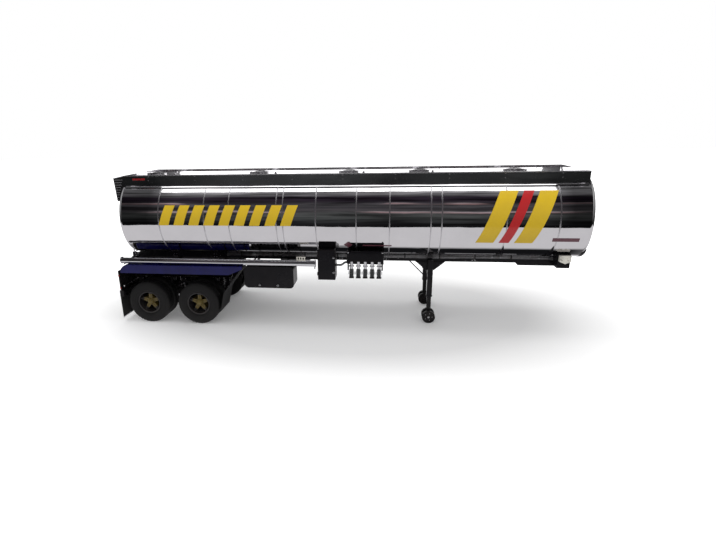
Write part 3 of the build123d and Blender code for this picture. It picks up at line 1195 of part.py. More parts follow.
def make_manifold_guard():
    """Plenum on the right rail, the rounded guard ahead of it and its two posts."""
    low, seam, top = MANIFOLD_Z
    back, plenum_front, front = MANIFOLD_Y
    with BuildPart() as guard:
        block(MANIFOLD_X, (-front, -back), (seam, top))
        fillet(guard.edges().filter_by(Axis.X).group_by(Axis.Z)[-1], MANIFOLD_CORNER_R)
        for x in (MANIFOLD_X[0] + POST_INSET, MANIFOLD_X[1] - POST_INSET):
            rod((x, -POST_Y, POST_FOOT_Z), (x, -POST_Y, top), POST_R)
        block(MANIFOLD_X, (-plenum_front, -RAIL_OUT_Y), (low, seam + PLENUM_LAP))
        cut_barrel()
    save(guard, "manifold_guard")


def make_adapters():
    """Loading adapters under the guard, their lower bodies leaning outwards, and their caps."""
    tilt = radians(ADAPTER_SPLAY)
    lean = Vector(0, -sin(tilt), -cos(tilt))
    run = (ADAPTER_BEND_Z - ADAPTER_END_Z) / cos(tilt)
    bends = [Vector(MANIFOLD_X[0] + MANIFOLD_MARGIN + k * ADAPTER_PITCH, -ADAPTER_Y, ADAPTER_BEND_Z)
             for k in range(ADAPTERS)]
    with BuildPart() as adapters:
        for bend in bends:
            rod((bend.X, bend.Y, MANIFOLD_Z[1]), tuple(bend), ADAPTER_PIPE_R)
            rod((bend.X, bend.Y, ADAPTER_FLANGE_Z), (bend.X, bend.Y, ADAPTER_FLANGE_Z - ADAPTER_FLANGE_T),
                ADAPTER_FLANGE_R)
            rod(tuple(bend), tuple(bend + lean * run), ADAPTER_BODY_R)
    save(adapters, "loading_adapters")
    with BuildPart() as caps:
        for bend in bends:
            rod(tuple(bend + lean * run), tuple(bend + lean * (run + ADAPTER_CAP_T)), ADAPTER_CAP_R)
    save(caps, "adapter_caps")


def main():
    os.makedirs("parts", exist_ok=True)
    rear_head = dished_head(REAR_SEAM_X, REAR_NOSE_X)
    front_head = dished_head(FRONT_SEAM_X, FRONT_X)
    save(rear_head, "rear_head")
    save(front_head, "front_head")
    make_barrel()
    make_seam_bands()
    make_coamings()
    make_coaming_ends(rear_head)
    make_manhole_collars()
    make_manhole_lids()
    make_walkway()
    make_frame_rails()
    make_crossmembers()
    make_coupler_plate()
    make_kingpin()
    make_front_bolster()
    make_front_apron(front_head)
    make_gladhand_box()
    make_landing_legs()
    make_landing_wheels()
    make_leg_brackets()
    make_cross_shaft()
    make_axles()
    make_wheels()
    make_leaf_springs()
    make_spring_hangers()
    make_suspension_subframe()
    make_air_tank()
    make_fenders()
    make_splash_guards()
    make_mudflaps()
    make_rear_bumper()
    make_tail_lamps()
    make_ladder(rear_head)
    make_outriggers()
    make_hose_tube()
    make_cabinets()
    make_manifold_guard()
    make_adapters()


main()
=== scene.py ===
"""Tank semi-trailer: finishes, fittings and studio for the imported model.

Metres. X points to the kingpin, -Y is the right-hand (kerb) side, Z is up and the floor is z = 0.
"""
import json
from math import cos, pi, radians, sin, sqrt, tau

import bmesh
import bpy
from bpy.props import FloatProperty, FloatVectorProperty, IntProperty, PointerProperty
from mathutils import Matrix, Vector


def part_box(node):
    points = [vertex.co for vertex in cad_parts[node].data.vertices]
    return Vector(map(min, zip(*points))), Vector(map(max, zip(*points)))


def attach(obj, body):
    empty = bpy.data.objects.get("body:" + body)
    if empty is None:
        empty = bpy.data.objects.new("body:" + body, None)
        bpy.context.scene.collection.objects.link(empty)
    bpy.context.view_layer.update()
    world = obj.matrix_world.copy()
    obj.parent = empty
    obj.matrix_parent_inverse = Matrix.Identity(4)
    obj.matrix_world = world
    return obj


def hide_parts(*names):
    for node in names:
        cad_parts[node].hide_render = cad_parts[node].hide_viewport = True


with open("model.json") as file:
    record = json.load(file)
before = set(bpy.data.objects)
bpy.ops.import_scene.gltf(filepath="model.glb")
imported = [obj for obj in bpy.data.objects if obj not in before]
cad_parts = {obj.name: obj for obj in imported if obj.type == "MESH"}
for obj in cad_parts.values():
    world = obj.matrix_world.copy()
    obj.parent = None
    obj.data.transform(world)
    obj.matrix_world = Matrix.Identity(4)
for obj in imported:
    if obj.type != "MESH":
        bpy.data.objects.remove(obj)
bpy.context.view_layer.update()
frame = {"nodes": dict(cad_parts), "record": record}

bl_info = {
    "name": "Tank Semi-Trailer Looks",
    "version": (1, 0, 0),
    "blender": (4, 5, 0),
    "location": "View3D > Sidebar > Tank Trailer",
    "description": "Finishes, small fittings and a studio for a tank semi-trailer",
    "category": "Object",
}

NODES = frame["nodes"]
SLOT_OF = {part["node"]: part["material_slot"] for part in frame["record"]["subparts"]}
SIDES = {"right": -1, "left": 1}
AXLES = ("rear", "front")
LIDS = range(1, 6)
X, Y, Z = Vector((1, 0, 0)), Vector((0, 1, 0)), Vector((0, 0, 1))


# ------------------------------------------------------------------ places read from the frame
def middle(node):
    """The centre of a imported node's box."""
    low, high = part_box(node)
    return (low + high) / 2


BARREL_LOW, BARREL_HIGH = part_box("barrel")
BARREL_Z = (BARREL_LOW.z + BARREL_HIGH.z) / 2
SIDE_R = 0.9                    # radius of the barrel's side arcs
SIDE_Y = BARREL_HIGH.y - SIDE_R
DECK_Z = BARREL_HIGH.z
CROWN_R = 2.203                 # radius of the barrel's crown
AXLE_X = {axle: middle(f"tyres_{axle}_right").x for axle in AXLES}
AXLE_Z = middle("tyres_rear_right").z
TYRE_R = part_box("tyres_rear_right")[1].z - AXLE_Z
TYRE_OUT_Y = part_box("tyres_rear_left")[1].y
TYRE_IN_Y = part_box("tyres_rear_left")[0].y
RAIL_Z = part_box("frame_rails")[0].z
WEB_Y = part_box("crossmembers")[1].y + 0.008     # outer faces of the rails' webs
LEG_X = middle("leg_cross_shaft").x
SHAFT_Z = middle("leg_cross_shaft").z
LEG_Y = middle("landing_wheels_left").y
COAMING_LOW, COAMING_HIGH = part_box("coaming_left")
TUBE_LOW, TUBE_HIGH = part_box("hose_tube")
TUBE_R = (TUBE_HIGH.y - TUBE_LOW.y) / 2
TUBE_Y = TUBE_LOW.y + TUBE_R
TUBE_Z = TUBE_LOW.z + TUBE_R
FENDER_LOW, FENDER_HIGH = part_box("fender_left")
LID_R = 0.205
LID_X = {number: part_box(f"manhole_lid_{number}")[1].x - LID_R for number in LIDS}
LID_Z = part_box("manhole_lid_1")[1].z - 0.036
SPRING_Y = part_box("leaf_springs")[1].y - 0.038  # the springs, from the middle


# ------------------------------------------------------------------ places the frame doesn't list
PAD_X = (3.475, 4.475)                  # saddle pads
HANGER_X = (-5.145, -4.0025, -2.860)    # spring hangers, the middle one carrying the rockers
CHAMBER_Y = 0.290                       # brake chambers
COAMING_IN_Y = 0.800                    # inner and outer faces of the spill rails' walls
COAMING_OUT_Y = 0.8052
LINE_Y = -0.522                         # air and lamp lines along the right rail
CLAMP_DX = 0.24                         # spring clips, either side of an axle
CLIP_DROP = CLAMP_DX ** 2 / (2 * 1.243)     # a spring clip's fall along the leaf's arc
GEARBOX_HALF = 0.068
GRIP_Z = 0.710                          # the crank's grip
STAY_X = (-5.150, -4.000, -2.850, -2.350)   # the fenders' stays
LAMP_Y = (1.11, 0.96, 0.81)
LAMP_Z = 1.21
TAIL_X = -5.3451                        # rear faces of the bumper and ladder
PANEL_X = -5.3251                       # rear faces of the lamp panels
LADDER_Y = (-0.370, -0.070)
DOOR_Y = -1.1358                        # outer face of the valve cabinet's door
PIPE_Y = -0.98                          # vapour pipe
VALVES = 5
VALVE_X = 0.254                         # the rearmost adapter
VALVE_PITCH = 0.153
VALVE_Y = -1.045
VALVE_LEAN = radians(14.0)              # the adapters' mouths lean outwards


# ------------------------------------------------------------------ settings
def colour(name, text, value):
    return FloatVectorProperty(name=name, description=text, subtype="COLOR", size=3, default=value,
                               min=0, max=1)


def length(name, text, value, low=0.001):
    return FloatProperty(name=name, description=text, unit="LENGTH", default=value, min=low)


class TankTrailerColours(bpy.types.PropertyGroup):
    """Colours of the finishes."""
    polished: colour("Polished sheet", "Reflection colour of the barrel", (0.86, 0.85, 0.865))
    trim: colour("Bright trim", "Reflection colour of rails, lids and bands", (0.80, 0.79, 0.81))
    black: colour("Frame black", "Enamel of the frame and cabinets", (0.0065, 0.006, 0.008))
    navy: colour("Fender navy", "Enamel of the fenders", (0.006, 0.006, 0.075))
    # The ochre is darker than the wheels' own paint: painted shade, for wheels that stand in shade under
    # the trailer.
    ochre: colour("Wheel ochre", "Enamel of the wheel centres", (0.13, 0.092, 0.013))
    cream: colour("Box cream", "Enamel of the connection box", (0.76, 0.73, 0.66))
    grey: colour("Tank grey", "Enamel of the air reservoir", (0.12, 0.125, 0.13))
    rubber: colour("Rubber", "Tyres, flaps and seals", (0.0065, 0.0062, 0.0065))
    lens: colour("Lamp red", "Tail lamp lenses", (0.42, 0.008, 0.008))
    stripe: colour("Stripe yellow", "Slanted stripes on the barrel", (0.93, 0.62, 0.010))
    flash: colour("Stripe red", "Red stripes on the barrel", (0.66, 0.012, 0.016))
    panel: colour("Panel maroon", "Blank diamonds and strips", (0.15, 0.045, 0.065))
    dust: colour("Road dust", "Dust low on the trailer", (0.16, 0.135, 0.11))


class TankTrailerSizes(bpy.types.PropertyGroup):
    """Sizes of the fittings."""
    tyre_width: length("Tyre width", "Width of one tyre", 0.258)
    bead_radius: length("Bead radius", "Where the tyres sit on the rims", 0.2632)
    groove: length("Groove depth", "Depth of the tread grooves", 0.013)
    tread_steps: IntProperty(name="Tread steps", description="Steps round a tyre, in fours",
                             default=160, min=40)
    bolt: length("Bolt size", "Across the corners of a frame bolt's head", 0.028)
    stripes: IntProperty(name="Stripes", description="Slanted bars behind the middle",
                         default=9, min=1)
    stripe_lean: length("Stripe lean", "How far a bar's top leans forwards", 0.17)
    brace_pitch: length("Brace pitch", "Between the spill rails' braces", 1.1, 0.2)
    lug_pitch: length("Tread lug pitch", "Between the walkway's raised lugs", 0.048, 0.02)


class TankTrailerStudio(bpy.types.PropertyGroup):
    """Sizes and levels of the studio."""
    lens: FloatProperty(name="Lens", description="Focal length on a 36 mm sensor",
                        subtype="DISTANCE_CAMERA", default=22.6, min=1)
    # The table and the vault glow with painted reflections for the polish, the table with a painted shadow
    # under the trailer.
    table_half: length("Table half width", "Pale floor seen in the polish, from the middle", 6.9, 1)
    room_radius: length("Room radius", "Radius of the dark vault seen in the polish", 13.0, 5)
    sky: FloatProperty(name="Sky", description="Strength of the soft light from all round",
                       default=0.74, min=0)
    strip: FloatProperty(name="Strips", description="Radiance of the strips over the trailer",
                         default=1.85, min=0)


def colours():
    return bpy.context.scene.tanktrailer_colours


def sizes():
    return bpy.context.scene.tanktrailer_sizes


# ------------------------------------------------------------------ mesh helpers
def placed(at, across, out):
    """A frame at a point, with its x along across and its z along out."""
    z = Vector(out).normalized()
    x = (Vector(across) - z * z.dot(Vector(across))).normalized()
    y = z.cross(x)
    at = Vector(at)
    return Matrix(((x.x, y.x, z.x, at.x), (x.y, y.y, z.y, at.y), (x.z, y.z, z.z, at.z), (0, 0, 0, 1)))


def add_box(bm, low, high, bevel=0.002, place=Matrix.Identity(4)):
    """A box between two corners, in a frame of its own, with rounded edges."""
    low, high = Vector(low), Vector(high)
    size = high - low
    at = place @ Matrix.Translation((low + high) / 2) @ Matrix.Diagonal((*[abs(c) for c in size], 1))
    made = bmesh.ops.create_cube(bm, size=1.0, matrix=at)
    edges = list(dict.fromkeys(edge for vert in made["verts"] for edge in vert.link_edges))
    bmesh.ops.bevel(bm, geom=edges, offset=min(bevel, 0.4 * min(abs(c) for c in size)), segments=2,
                    affect="EDGES", profile=0.5)


def join_rings(bm, low, high):
    """Faces between two rings, either of which may be a single point."""
    if len(low) == 1 and len(high) == 1:
        return
    if len(low) == 1 or len(high) == 1:
        point, ring = (low[0], high) if len(low) == 1 else (high[0], low)
        for k, vert in enumerate(ring):
            bm.faces.new((ring[k - 1], vert, point))
        return
    for k in range(len(low)):
        bm.faces.new((low[k - 1], low[k], high[k], high[k - 1]))


def cap_ring(bm, ring):
    """A face over a ring, unless the ring is a point."""
    if len(ring) > 2:
        bm.faces.new(ring)


def add_turned(bm, profile, at, axis, steps=24, closed=False):
    """A turned shape from (along the axis, radius) points; closed joins the last to the first."""
    place = placed(at, Vector(axis).orthogonal(), axis)
    rings = []
    for along, radius in profile:
        around = [0] if radius < 1e-6 else [tau * k / steps for k in range(steps)]
        rings.append([bm.verts.new(place @ Vector((radius * cos(a), radius * sin(a), along)))
                      for a in around])
    for low, high in zip(rings, rings[1:]):
        join_rings(bm, low, high)
    if closed:
        join_rings(bm, rings[-1], rings[0])
    else:
        cap_ring(bm, rings[0])
        cap_ring(bm, rings[-1])


def add_ring(bm, at, axis, radius, section, steps=32):
    """A round-edged ring: section is its (length along the axis, thickness outwards)."""
    along, thick = section[0] / 2, section[1]
    edge = min(along, thick / 2) * 0.5
    add_turned(bm, [(-along, radius), (-along, radius + thick - edge), (-along + edge, radius + thick),
                    (along - edge, radius + thick), (along, radius + thick - edge), (along, radius)],
               at, axis, steps, closed=True)


def add_bolt(bm, at, axis, size=None):
    """A hexagon head on its washer, standing on a point."""
    size = size or sizes().bolt
    radius = size / 2
    add_turned(bm, [(0, 1.25 * radius), (0.12 * radius, 1.25 * radius)], at, axis, 14)
    add_turned(bm, [(0.12 * radius, radius), (0.62 * radius, radius), (0.75 * radius, 0.82 * radius),
                    (0.75 * radius, 0)], at, axis, 6)


def add_rivet(bm, at, axis, radius=0.008):
    """A round head, standing on a point."""
    add_turned(bm, [(0, radius), (0.3 * radius, 0.87 * radius), (0.52 * radius, 0.5 * radius),
                    (0.58 * radius, 0)], at, axis, 8)


def add_tube(bm, points, radius, steps=10):
    """A round bar along a path, mitred at its corners."""
    points = [Vector(point) for point in points]
    ahead = [(b - a).normalized() for a, b in zip(points, points[1:])]
    normals = [ahead[0]] + [(a + b).normalized() for a, b in zip(ahead, ahead[1:])] + [ahead[-1]]
    side = ahead[0].orthogonal().normalized()
    rings = []
    for point, normal, along in zip(points, normals, ahead[:1] + ahead):
        side = (side - along * side.dot(along)).normalized()
        other = along.cross(side)
        ring = []
        for k in range(steps):
            reach = (side * cos(tau * k / steps) + other * sin(tau * k / steps)) * radius
            ring.append(bm.verts.new(point + reach - along * (reach.dot(normal) / along.dot(normal))))
        rings.append(ring)
    for low, high in zip(rings, rings[1:]):
        join_rings(bm, low, high)
    cap_ring(bm, rings[0])
    cap_ring(bm, rings[-1])


def bent(points, radius, steps=5):
    """A path with its inner corners eased into curves."""
    points = [Vector(point) for point in points]
    path = [points[0]]
    for before, corner, after in zip(points, points[1:], points[2:]):
        start = corner + (before - corner).normalized() * radius
        end = corner + (after - corner).normalized() * radius
        for k in range(steps + 1):
            t = k / steps
            path.append(start * (1 - t) ** 2 + corner * (2 * t * (1 - t)) + end * t ** 2)
    return path + [points[-1]]


def add_plate(bm, outline, thickness, place):
    """A flat plate: its outline in a frame's own plane, its thickness along the frame's z."""
    low = [bm.verts.new(place @ Vector((u, v, 0))) for u, v in outline]
    high = [bm.verts.new(place @ Vector((u, v, thickness))) for u, v in outline]
    join_rings(bm, low, high)
    cap_ring(bm, low)
    cap_ring(bm, high)


def add_skin(bm, point, lift, across=6, up=6):
    """A thin sheet that follows a curved surface: point(u, v, lift) gives places on it."""
    sheets = []
    for height in (0.0006, lift):
        sheets.append([[bm.verts.new(point(i / across, j / up, height)) for j in range(up + 1)]
                       for i in range(across + 1)])
    for sheet in sheets:
        for i in range(across):
            for j in range(up):
                bm.faces.new((sheet[i][j], sheet[i + 1][j], sheet[i + 1][j + 1], sheet[i][j + 1]))
    low, high = sheets
    for i in range(across):
        for j in (0, up):
            bm.faces.new((low[i][j], low[i + 1][j], high[i + 1][j], high[i][j]))
    for j in range(up):
        for i in (0, across):
            bm.faces.new((low[i][j], low[i][j + 1], high[i][j + 1], high[i][j]))


def on_barrel(x, turn, lift=0.0, side=-1):
    """A place on the barrel's flank: turn is the angle in degrees above its widest line."""
    reach = SIDE_R + lift
    turn = radians(turn)
    return Vector((x, side * (SIDE_Y + reach * cos(turn)), BARREL_Z + reach * sin(turn)))


def crown_z(y):
    """Height of the barrel's crown at a distance from the middle."""
    return DECK_Z - CROWN_R + sqrt(CROWN_R ** 2 - y ** 2)


def make_piece(name, bm, finish, body="chassis", soft_angle=38):
    """Turn the faces into a piece with its finish, which rides on a body."""
    bmesh.ops.recalc_face_normals(bm, faces=bm.faces)
    for face in bm.faces:
        face.smooth = True
    for edge in bm.edges:
        edge.smooth = len(edge.link_faces) == 2 and edge.calc_face_angle(pi) < radians(soft_angle)
    mesh = bpy.data.meshes.new(name)
    bm.to_mesh(mesh)
    bm.free()
    piece = bpy.data.objects.new(name, mesh)
    bpy.context.scene.collection.objects.link(piece)
    mesh.materials.append(bpy.data.materials[finish])
    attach(piece, body)
    return piece


# ------------------------------------------------------------------ shader helpers
def put(tree, kind, inputs=None, **settings):
    """A new node: its settings by name, its inputs as values or as other nodes' outputs."""
    node = tree.nodes.new(kind)
    for name, value in settings.items():
        setattr(node, name, value)
    for name, value in (inputs or {}).items():
        if isinstance(value, bpy.types.NodeSocket):
            tree.links.new(value, node.inputs[name])
        else:
            node.inputs[name].default_value = value
    return node


def maths(tree, operation, a, b=0.0, clamp=False):
    """The result of a sum or other operation on two values."""
    return put(tree, "ShaderNodeMath", {0: a, 1: b}, operation=operation, use_clamp=clamp).outputs[0]


def remap(tree, value, low, high, to_low=0.0, to_high=1.0):
    """A value carried from one range to another, clamped at its ends."""
    return put(tree, "ShaderNodeMapRange", {"Value": value, "From Min": low, "From Max": high,
                                            "To Min": to_low, "To Max": to_high}).outputs["Result"]


def blend(tree, mask, low, high, how="MIX"):
    """A colour from two: by a mask, or multiplied or added by its amount."""
    return put(tree, "ShaderNodeMix", {0: mask, 6: low, 7: high}, data_type="RGBA",
               blend_type=how).outputs[2]


def place_of(tree, stretch=(1, 1, 1)):
    """The point on the part, in its own frame, stretched along its axes."""
    spot = put(tree, "ShaderNodeTexCoord").outputs["Object"]
    return put(tree, "ShaderNodeMapping", {"Vector": spot, "Scale": stretch}).outputs["Vector"]


def noise(tree, vector, scale, detail=3.0, rough=0.55):
    return put(tree, "ShaderNodeTexNoise", {"Vector": vector, "Scale": scale, "Detail": detail,
                                            "Roughness": rough}).outputs["Fac"]


def new_group(name, inputs, outputs):
    """A node group with named sockets: inputs are (name, kind, value)."""
    tree = bpy.data.node_groups.new(name, "ShaderNodeTree")
    for label, kind, value in inputs:
        socket = tree.interface.new_socket(label, in_out="INPUT", socket_type=f"NodeSocket{kind}")
        socket.default_value = value
    for label, kind in outputs:
        tree.interface.new_socket(label, in_out="OUTPUT", socket_type=f"NodeSocket{kind}")
    source = tree.nodes.new("NodeGroupInput")
    target = tree.nodes.new("NodeGroupOutput")
    return tree, source.outputs, target.inputs


def make_cloud_group():
    """Soft patches of lighter and darker: a mask for colour and for roughness."""
    tree, given, out = new_group("soft_patches", [("Size", "Float", 2.0), ("Contrast", "Float", 1.0)],
                                 [("Mask", "Float")])
    spot = place_of(tree)
    broad = noise(tree, spot, given["Size"], 4.0, 0.6)
    spread = maths(tree, "MULTIPLY", maths(tree, "SUBTRACT", broad, 0.5), given["Contrast"])
    tree.links.new(maths(tree, "ADD", spread, 0.5, clamp=True), out["Mask"])


def make_grime_group():
    """Dust that thickens towards the ground, breaks up in patches and runs down in streaks."""
    tree, given, out = new_group("road_grime", [("Colour", "Color", (0.1, 0.1, 0.1, 1)),
                                                ("Dust", "Color", (0.16, 0.135, 0.11, 1)),
                                                ("Amount", "Float", 0.5), ("Top", "Float", 1.6)],
                                 [("Colour", "Color"), ("Mask", "Float")])
    spot = place_of(tree)
    z = put(tree, "ShaderNodeSeparateXYZ", {0: spot}).outputs["Z"]
    low = remap(tree, z, given["Top"], 0.0, 0.12, 1.0)
    patches = remap(tree, noise(tree, spot, 5.0, 6.0, 0.65), 0.36, 0.72)
    runs = remap(tree, noise(tree, place_of(tree, (17, 17, 1.1)), 1.0, 3.0, 0.6), 0.45, 0.75)
    both = maths(tree, "ADD", maths(tree, "MULTIPLY", patches, 0.85),
                 maths(tree, "MULTIPLY", runs, 0.15))
    mask = maths(tree, "MULTIPLY", maths(tree, "MULTIPLY", both, low), given["Amount"], clamp=True)
    tree.links.new(blend(tree, mask, given["Colour"], given["Dust"]), out["Colour"])
    tree.links.new(mask, out["Mask"])


def make_edge_group():
    """Where paint or polish is rubbed away: on sharp edges, in broken patches."""
    tree, given, out = new_group("edge_rub", [("Reach", "Float", 0.004), ("Amount", "Float", 0.5)],
                                 [("Mask", "Float")])
    eased = put(tree, "ShaderNodeBevel", {"Radius": given["Reach"]}, samples=4).outputs["Normal"]
    true_normal = put(tree, "ShaderNodeNewGeometry").outputs["Normal"]
    facing = put(tree, "ShaderNodeVectorMath", {0: eased, 1: true_normal}, operation="DOT_PRODUCT")
    edge = remap(tree, facing.outputs["Value"], 0.985, 0.86)
    broken = remap(tree, noise(tree, place_of(tree), 38.0, 4.0, 0.7), 0.40, 0.66)
    mask = maths(tree, "MULTIPLY", maths(tree, "MULTIPLY", edge, broken), given["Amount"], clamp=True)
    tree.links.new(mask, out["Mask"])


def make_scratch_group():
    """Fine wiping scratches along the trailer, with a few deeper ones across."""
    tree, given, out = new_group("fine_scratches", [("Amount", "Float", 0.5)], [("Mask", "Float")])
    along = remap(tree, noise(tree, place_of(tree, (2.2, 150, 150)), 1.0, 5.0, 0.7), 0.56, 0.70)
    across = remap(tree, noise(tree, place_of(tree, (60, 7, 60)), 1.0, 3.0, 0.6), 0.68, 0.72, 0.0, 0.6)
    both = maths(tree, "MAXIMUM", along, across)
    tree.links.new(maths(tree, "MULTIPLY", both, given["Amount"], clamp=True), out["Mask"])


def make_chip_group():
    """Small chips thrown up by stones: a mask of scattered flecks, denser near the ground."""
    tree, given, out = new_group("stone_chips", [("Amount", "Float", 0.5), ("Size", "Float", 60.0)],
                                 [("Mask", "Float")])
    spot = place_of(tree)
    cells = put(tree, "ShaderNodeTexVoronoi", {"Vector": spot, "Scale": given["Size"]})
    fleck = remap(tree, cells.outputs["Distance"], 0.16, 0.08)
    chance = put(tree, "ShaderNodeSeparateColor", {0: cells.outputs["Color"]}).outputs[0]
    rare = remap(tree, chance, 0.86, 0.88)
    z = put(tree, "ShaderNodeSeparateXYZ", {0: spot}).outputs["Z"]
    low = remap(tree, z, 2.0, 0.3, 0.15, 1.0)
    mask = maths(tree, "MULTIPLY", maths(tree, "MULTIPLY", fleck, rare),
                 maths(tree, "MULTIPLY", low, given["Amount"]))
    tree.links.new(mask, out["Mask"])


def make_grain_group():
    """The fine skin of a moulded or sprayed surface, as a height."""
    tree, given, out = new_group("fine_grain", [("Size", "Float", 300.0)], [("Height", "Float")])
    spot = place_of(tree)
    coarse = noise(tree, spot, given["Size"], 3.0, 0.6)
    fine = noise(tree, spot, maths(tree, "MULTIPLY", given["Size"], 3.7), 2.0, 0.5)
    both = maths(tree, "ADD", maths(tree, "MULTIPLY", coarse, 0.7),
                 maths(tree, "MULTIPLY", fine, 0.3))
    tree.links.new(both, out["Height"])


def make_sheet_group():
    """The slow waviness of thin rolled sheet, stronger beside the seams' rings, as a height."""
    tree, given, out = new_group("rolled_sheet", [("Size", "Float", 1.0)], [("Height", "Float")])
    spot = place_of(tree, (1.0, 2.4, 2.4))
    slow = noise(tree, spot, given["Size"], 1.0, 0.4)
    quick = noise(tree, spot, maths(tree, "MULTIPLY", given["Size"], 5.0), 1.0, 0.4)
    tree.links.new(maths(tree, "ADD", slow, maths(tree, "MULTIPLY", quick, 0.07)), out["Height"])


class Finish:
    """A material being made: its Principled shader, and helpers that feed it."""

    def __init__(self, name, **plain):
        self.material = bpy.data.materials.new(name)
        self.material.use_nodes = True
        self.tree = self.material.node_tree
        self.shader = next(node for node in self.tree.nodes if node.type == "BSDF_PRINCIPLED")
        for socket, value in plain.items():
            self.set(socket.replace("_", " ").title().replace("Ior", "IOR"), value)

    def set(self, socket, value):
        if isinstance(value, bpy.types.NodeSocket):
            self.tree.links.new(value, self.shader.inputs[socket])
        else:
            self.shader.inputs[socket].default_value = value

    def group(self, name, **inputs):
        node = self.tree.nodes.new("ShaderNodeGroup")
        node.node_tree = bpy.data.node_groups[name]
        for label, value in inputs.items():
            if isinstance(value, bpy.types.NodeSocket):
                self.tree.links.new(value, node.inputs[label])
            else:
                node.inputs[label].default_value = value
        return node.outputs

    def mix(self, mask, low, high):
        """A colour between two, by a mask."""
        low, high = [c if isinstance(c, bpy.types.NodeSocket) else (*c[:3], 1) for c in (low, high)]
        return blend(self.tree, mask, low, high)

    def between(self, mask, low, high):
        """A value between two, by a mask."""
        return remap(self.tree, mask, 0.0, 1.0, low, high)

    def patches(self, size, contrast=2.0):
        return self.group("soft_patches", Size=size, Contrast=contrast)["Mask"]

    def bump(self, height, depth, strength=1.0):
        """Relief from a height whose range stands for a depth in metres."""
        node = put(self.tree, "ShaderNodeBump", {"Height": height, "Distance": depth,
                                                 "Strength": strength})
        self.set("Normal", node.outputs["Normal"])


def shade(value, amount):
    """A colour made lighter or darker by an amount."""
    return tuple(min(1.0, c * amount) for c in tuple(value)[:3])


def polished_metal(name, tone, rough, size, depth, grime=0.10, smears=0.05):
    """Bright sheet: slow waviness, wiping scratches, thin grime and duller smears."""
    made = Finish(name, metallic=1.0)
    cloud = made.patches(1.6, 2.4)
    dirt = made.group("road_grime", Colour=made.mix(cloud, shade(tone, 0.93), tone),
                      Dust=(*shade(colours().dust, 1.3), 1), Amount=grime, Top=2.6)
    scratches = made.group("fine_scratches", Amount=1.0)
    made.set("Base Color", dirt["Colour"])
    dull = maths(made.tree, "ADD", made.between(scratches["Mask"], rough, rough + smears),
                 maths(made.tree, "ADD", made.between(cloud, 0.0, 0.35 * smears),
                       maths(made.tree, "MULTIPLY", dirt["Mask"], 0.8)))
    made.set("Roughness", dull)
    made.bump(made.group("rolled_sheet", Size=size)["Height"], depth)
    return made


def sprayed_enamel(name, tone, rough, under=(0.13, 0.075, 0.045), dust=0.16, wear=0.4, top=1.5, coat=0.0,
                   chips=0.7, shine=0.5):
    """Sprayed paint: patchy sheen, orange peel, dust low down, chips, and edges rubbed bare."""
    made = Finish(name, coat_weight=coat, coat_roughness=0.06, specular_ior_level=shine)
    cloud = made.patches(3.0, 2.2)
    dirt = made.group("road_grime", Colour=made.mix(cloud, shade(tone, 0.72), shade(tone, 1.25)),
                      Dust=(*colours().dust, 1), Amount=dust, Top=top)
    worn = maths(made.tree, "MAXIMUM", made.group("edge_rub", Reach=0.004, Amount=wear)["Mask"],
                 made.group("stone_chips", Amount=chips, Size=70.0)["Mask"])
    made.set("Base Color", made.mix(worn, dirt["Colour"], under))
    sheen = maths(made.tree, "ADD", made.between(cloud, rough * 0.8, rough * 1.25),
                  maths(made.tree, "ADD", maths(made.tree, "MULTIPLY", dirt["Mask"], 0.45),
                        maths(made.tree, "MULTIPLY", worn, 0.3)))
    made.set("Roughness", sheen)
    made.bump(made.group("fine_grain", Size=130.0)["Height"], 0.0009, 0.5)
    return made


def moulded_rubber(name, tone, rough=0.62, dust=0.12, top=0.7, grain=420.0):
    """Black rubber: matt grain, grey bloom in patches and dust low down."""
    made = Finish(name, specular_ior_level=0.3)
    cloud = made.patches(9.0, 2.0)
    dirt = made.group("road_grime", Colour=made.mix(cloud, tone, shade(tone, 1.6)),
                      Dust=(*shade(colours().dust, 0.55), 1), Amount=dust, Top=top)
    rub = made.group("edge_rub", Reach=0.003, Amount=0.35)["Mask"]
    made.set("Base Color", made.mix(rub, dirt["Colour"], shade(tone, 4.0)))
    made.set("Roughness", maths(made.tree, "ADD", made.between(cloud, rough - 0.08, rough + 0.06),
                                maths(made.tree, "MULTIPLY", dirt["Mask"], 0.25)))
    made.bump(made.group("fine_grain", Size=grain)["Height"], 0.0006, 0.7)
    return made


def plated_steel(name, tone, rough, rust=0.25):
    """Zinc or bare steel: spangled grain with a little rust in patches and on edges."""
    made = Finish(name, metallic=1.0)
    cloud = made.patches(26.0, 2.6)
    spots = remap(made.tree, made.patches(7.0, 3.0), 0.55, 0.95)
    rusty = maths(made.tree, "MULTIPLY", spots, rust, clamp=True)
    clean = made.mix(cloud, shade(tone, 0.7), tone)
    made.set("Base Color", made.mix(rusty, clean, (0.16, 0.06, 0.025)))
    made.set("Roughness", maths(made.tree, "ADD", made.between(cloud, rough, rough + 0.14),
                                maths(made.tree, "MULTIPLY", rusty, 0.5)))
    made.bump(made.group("fine_grain", Size=240.0)["Height"], 0.0006, 0.5)
    return made


def wheel_radius(tree):
    """Distance from the nearer axle's line, for a point on the wheels."""
    parts = put(tree, "ShaderNodeSeparateXYZ", {0: place_of(tree)}).outputs
    half = (AXLE_X["front"] - AXLE_X["rear"]) / 2
    centre = (AXLE_X["front"] + AXLE_X["rear"]) / 2
    off = maths(tree, "ABSOLUTE", maths(tree, "SUBTRACT", parts["X"], centre))
    across = maths(tree, "SUBTRACT", off, half)
    up = maths(tree, "SUBTRACT", parts["Z"], AXLE_Z)
    radius = maths(tree, "SQRT", maths(tree, "ADD", maths(tree, "MULTIPLY", across, across),
                                       maths(tree, "MULTIPLY", up, up)))
    return radius, maths(tree, "ABSOLUTE", parts["Y"])


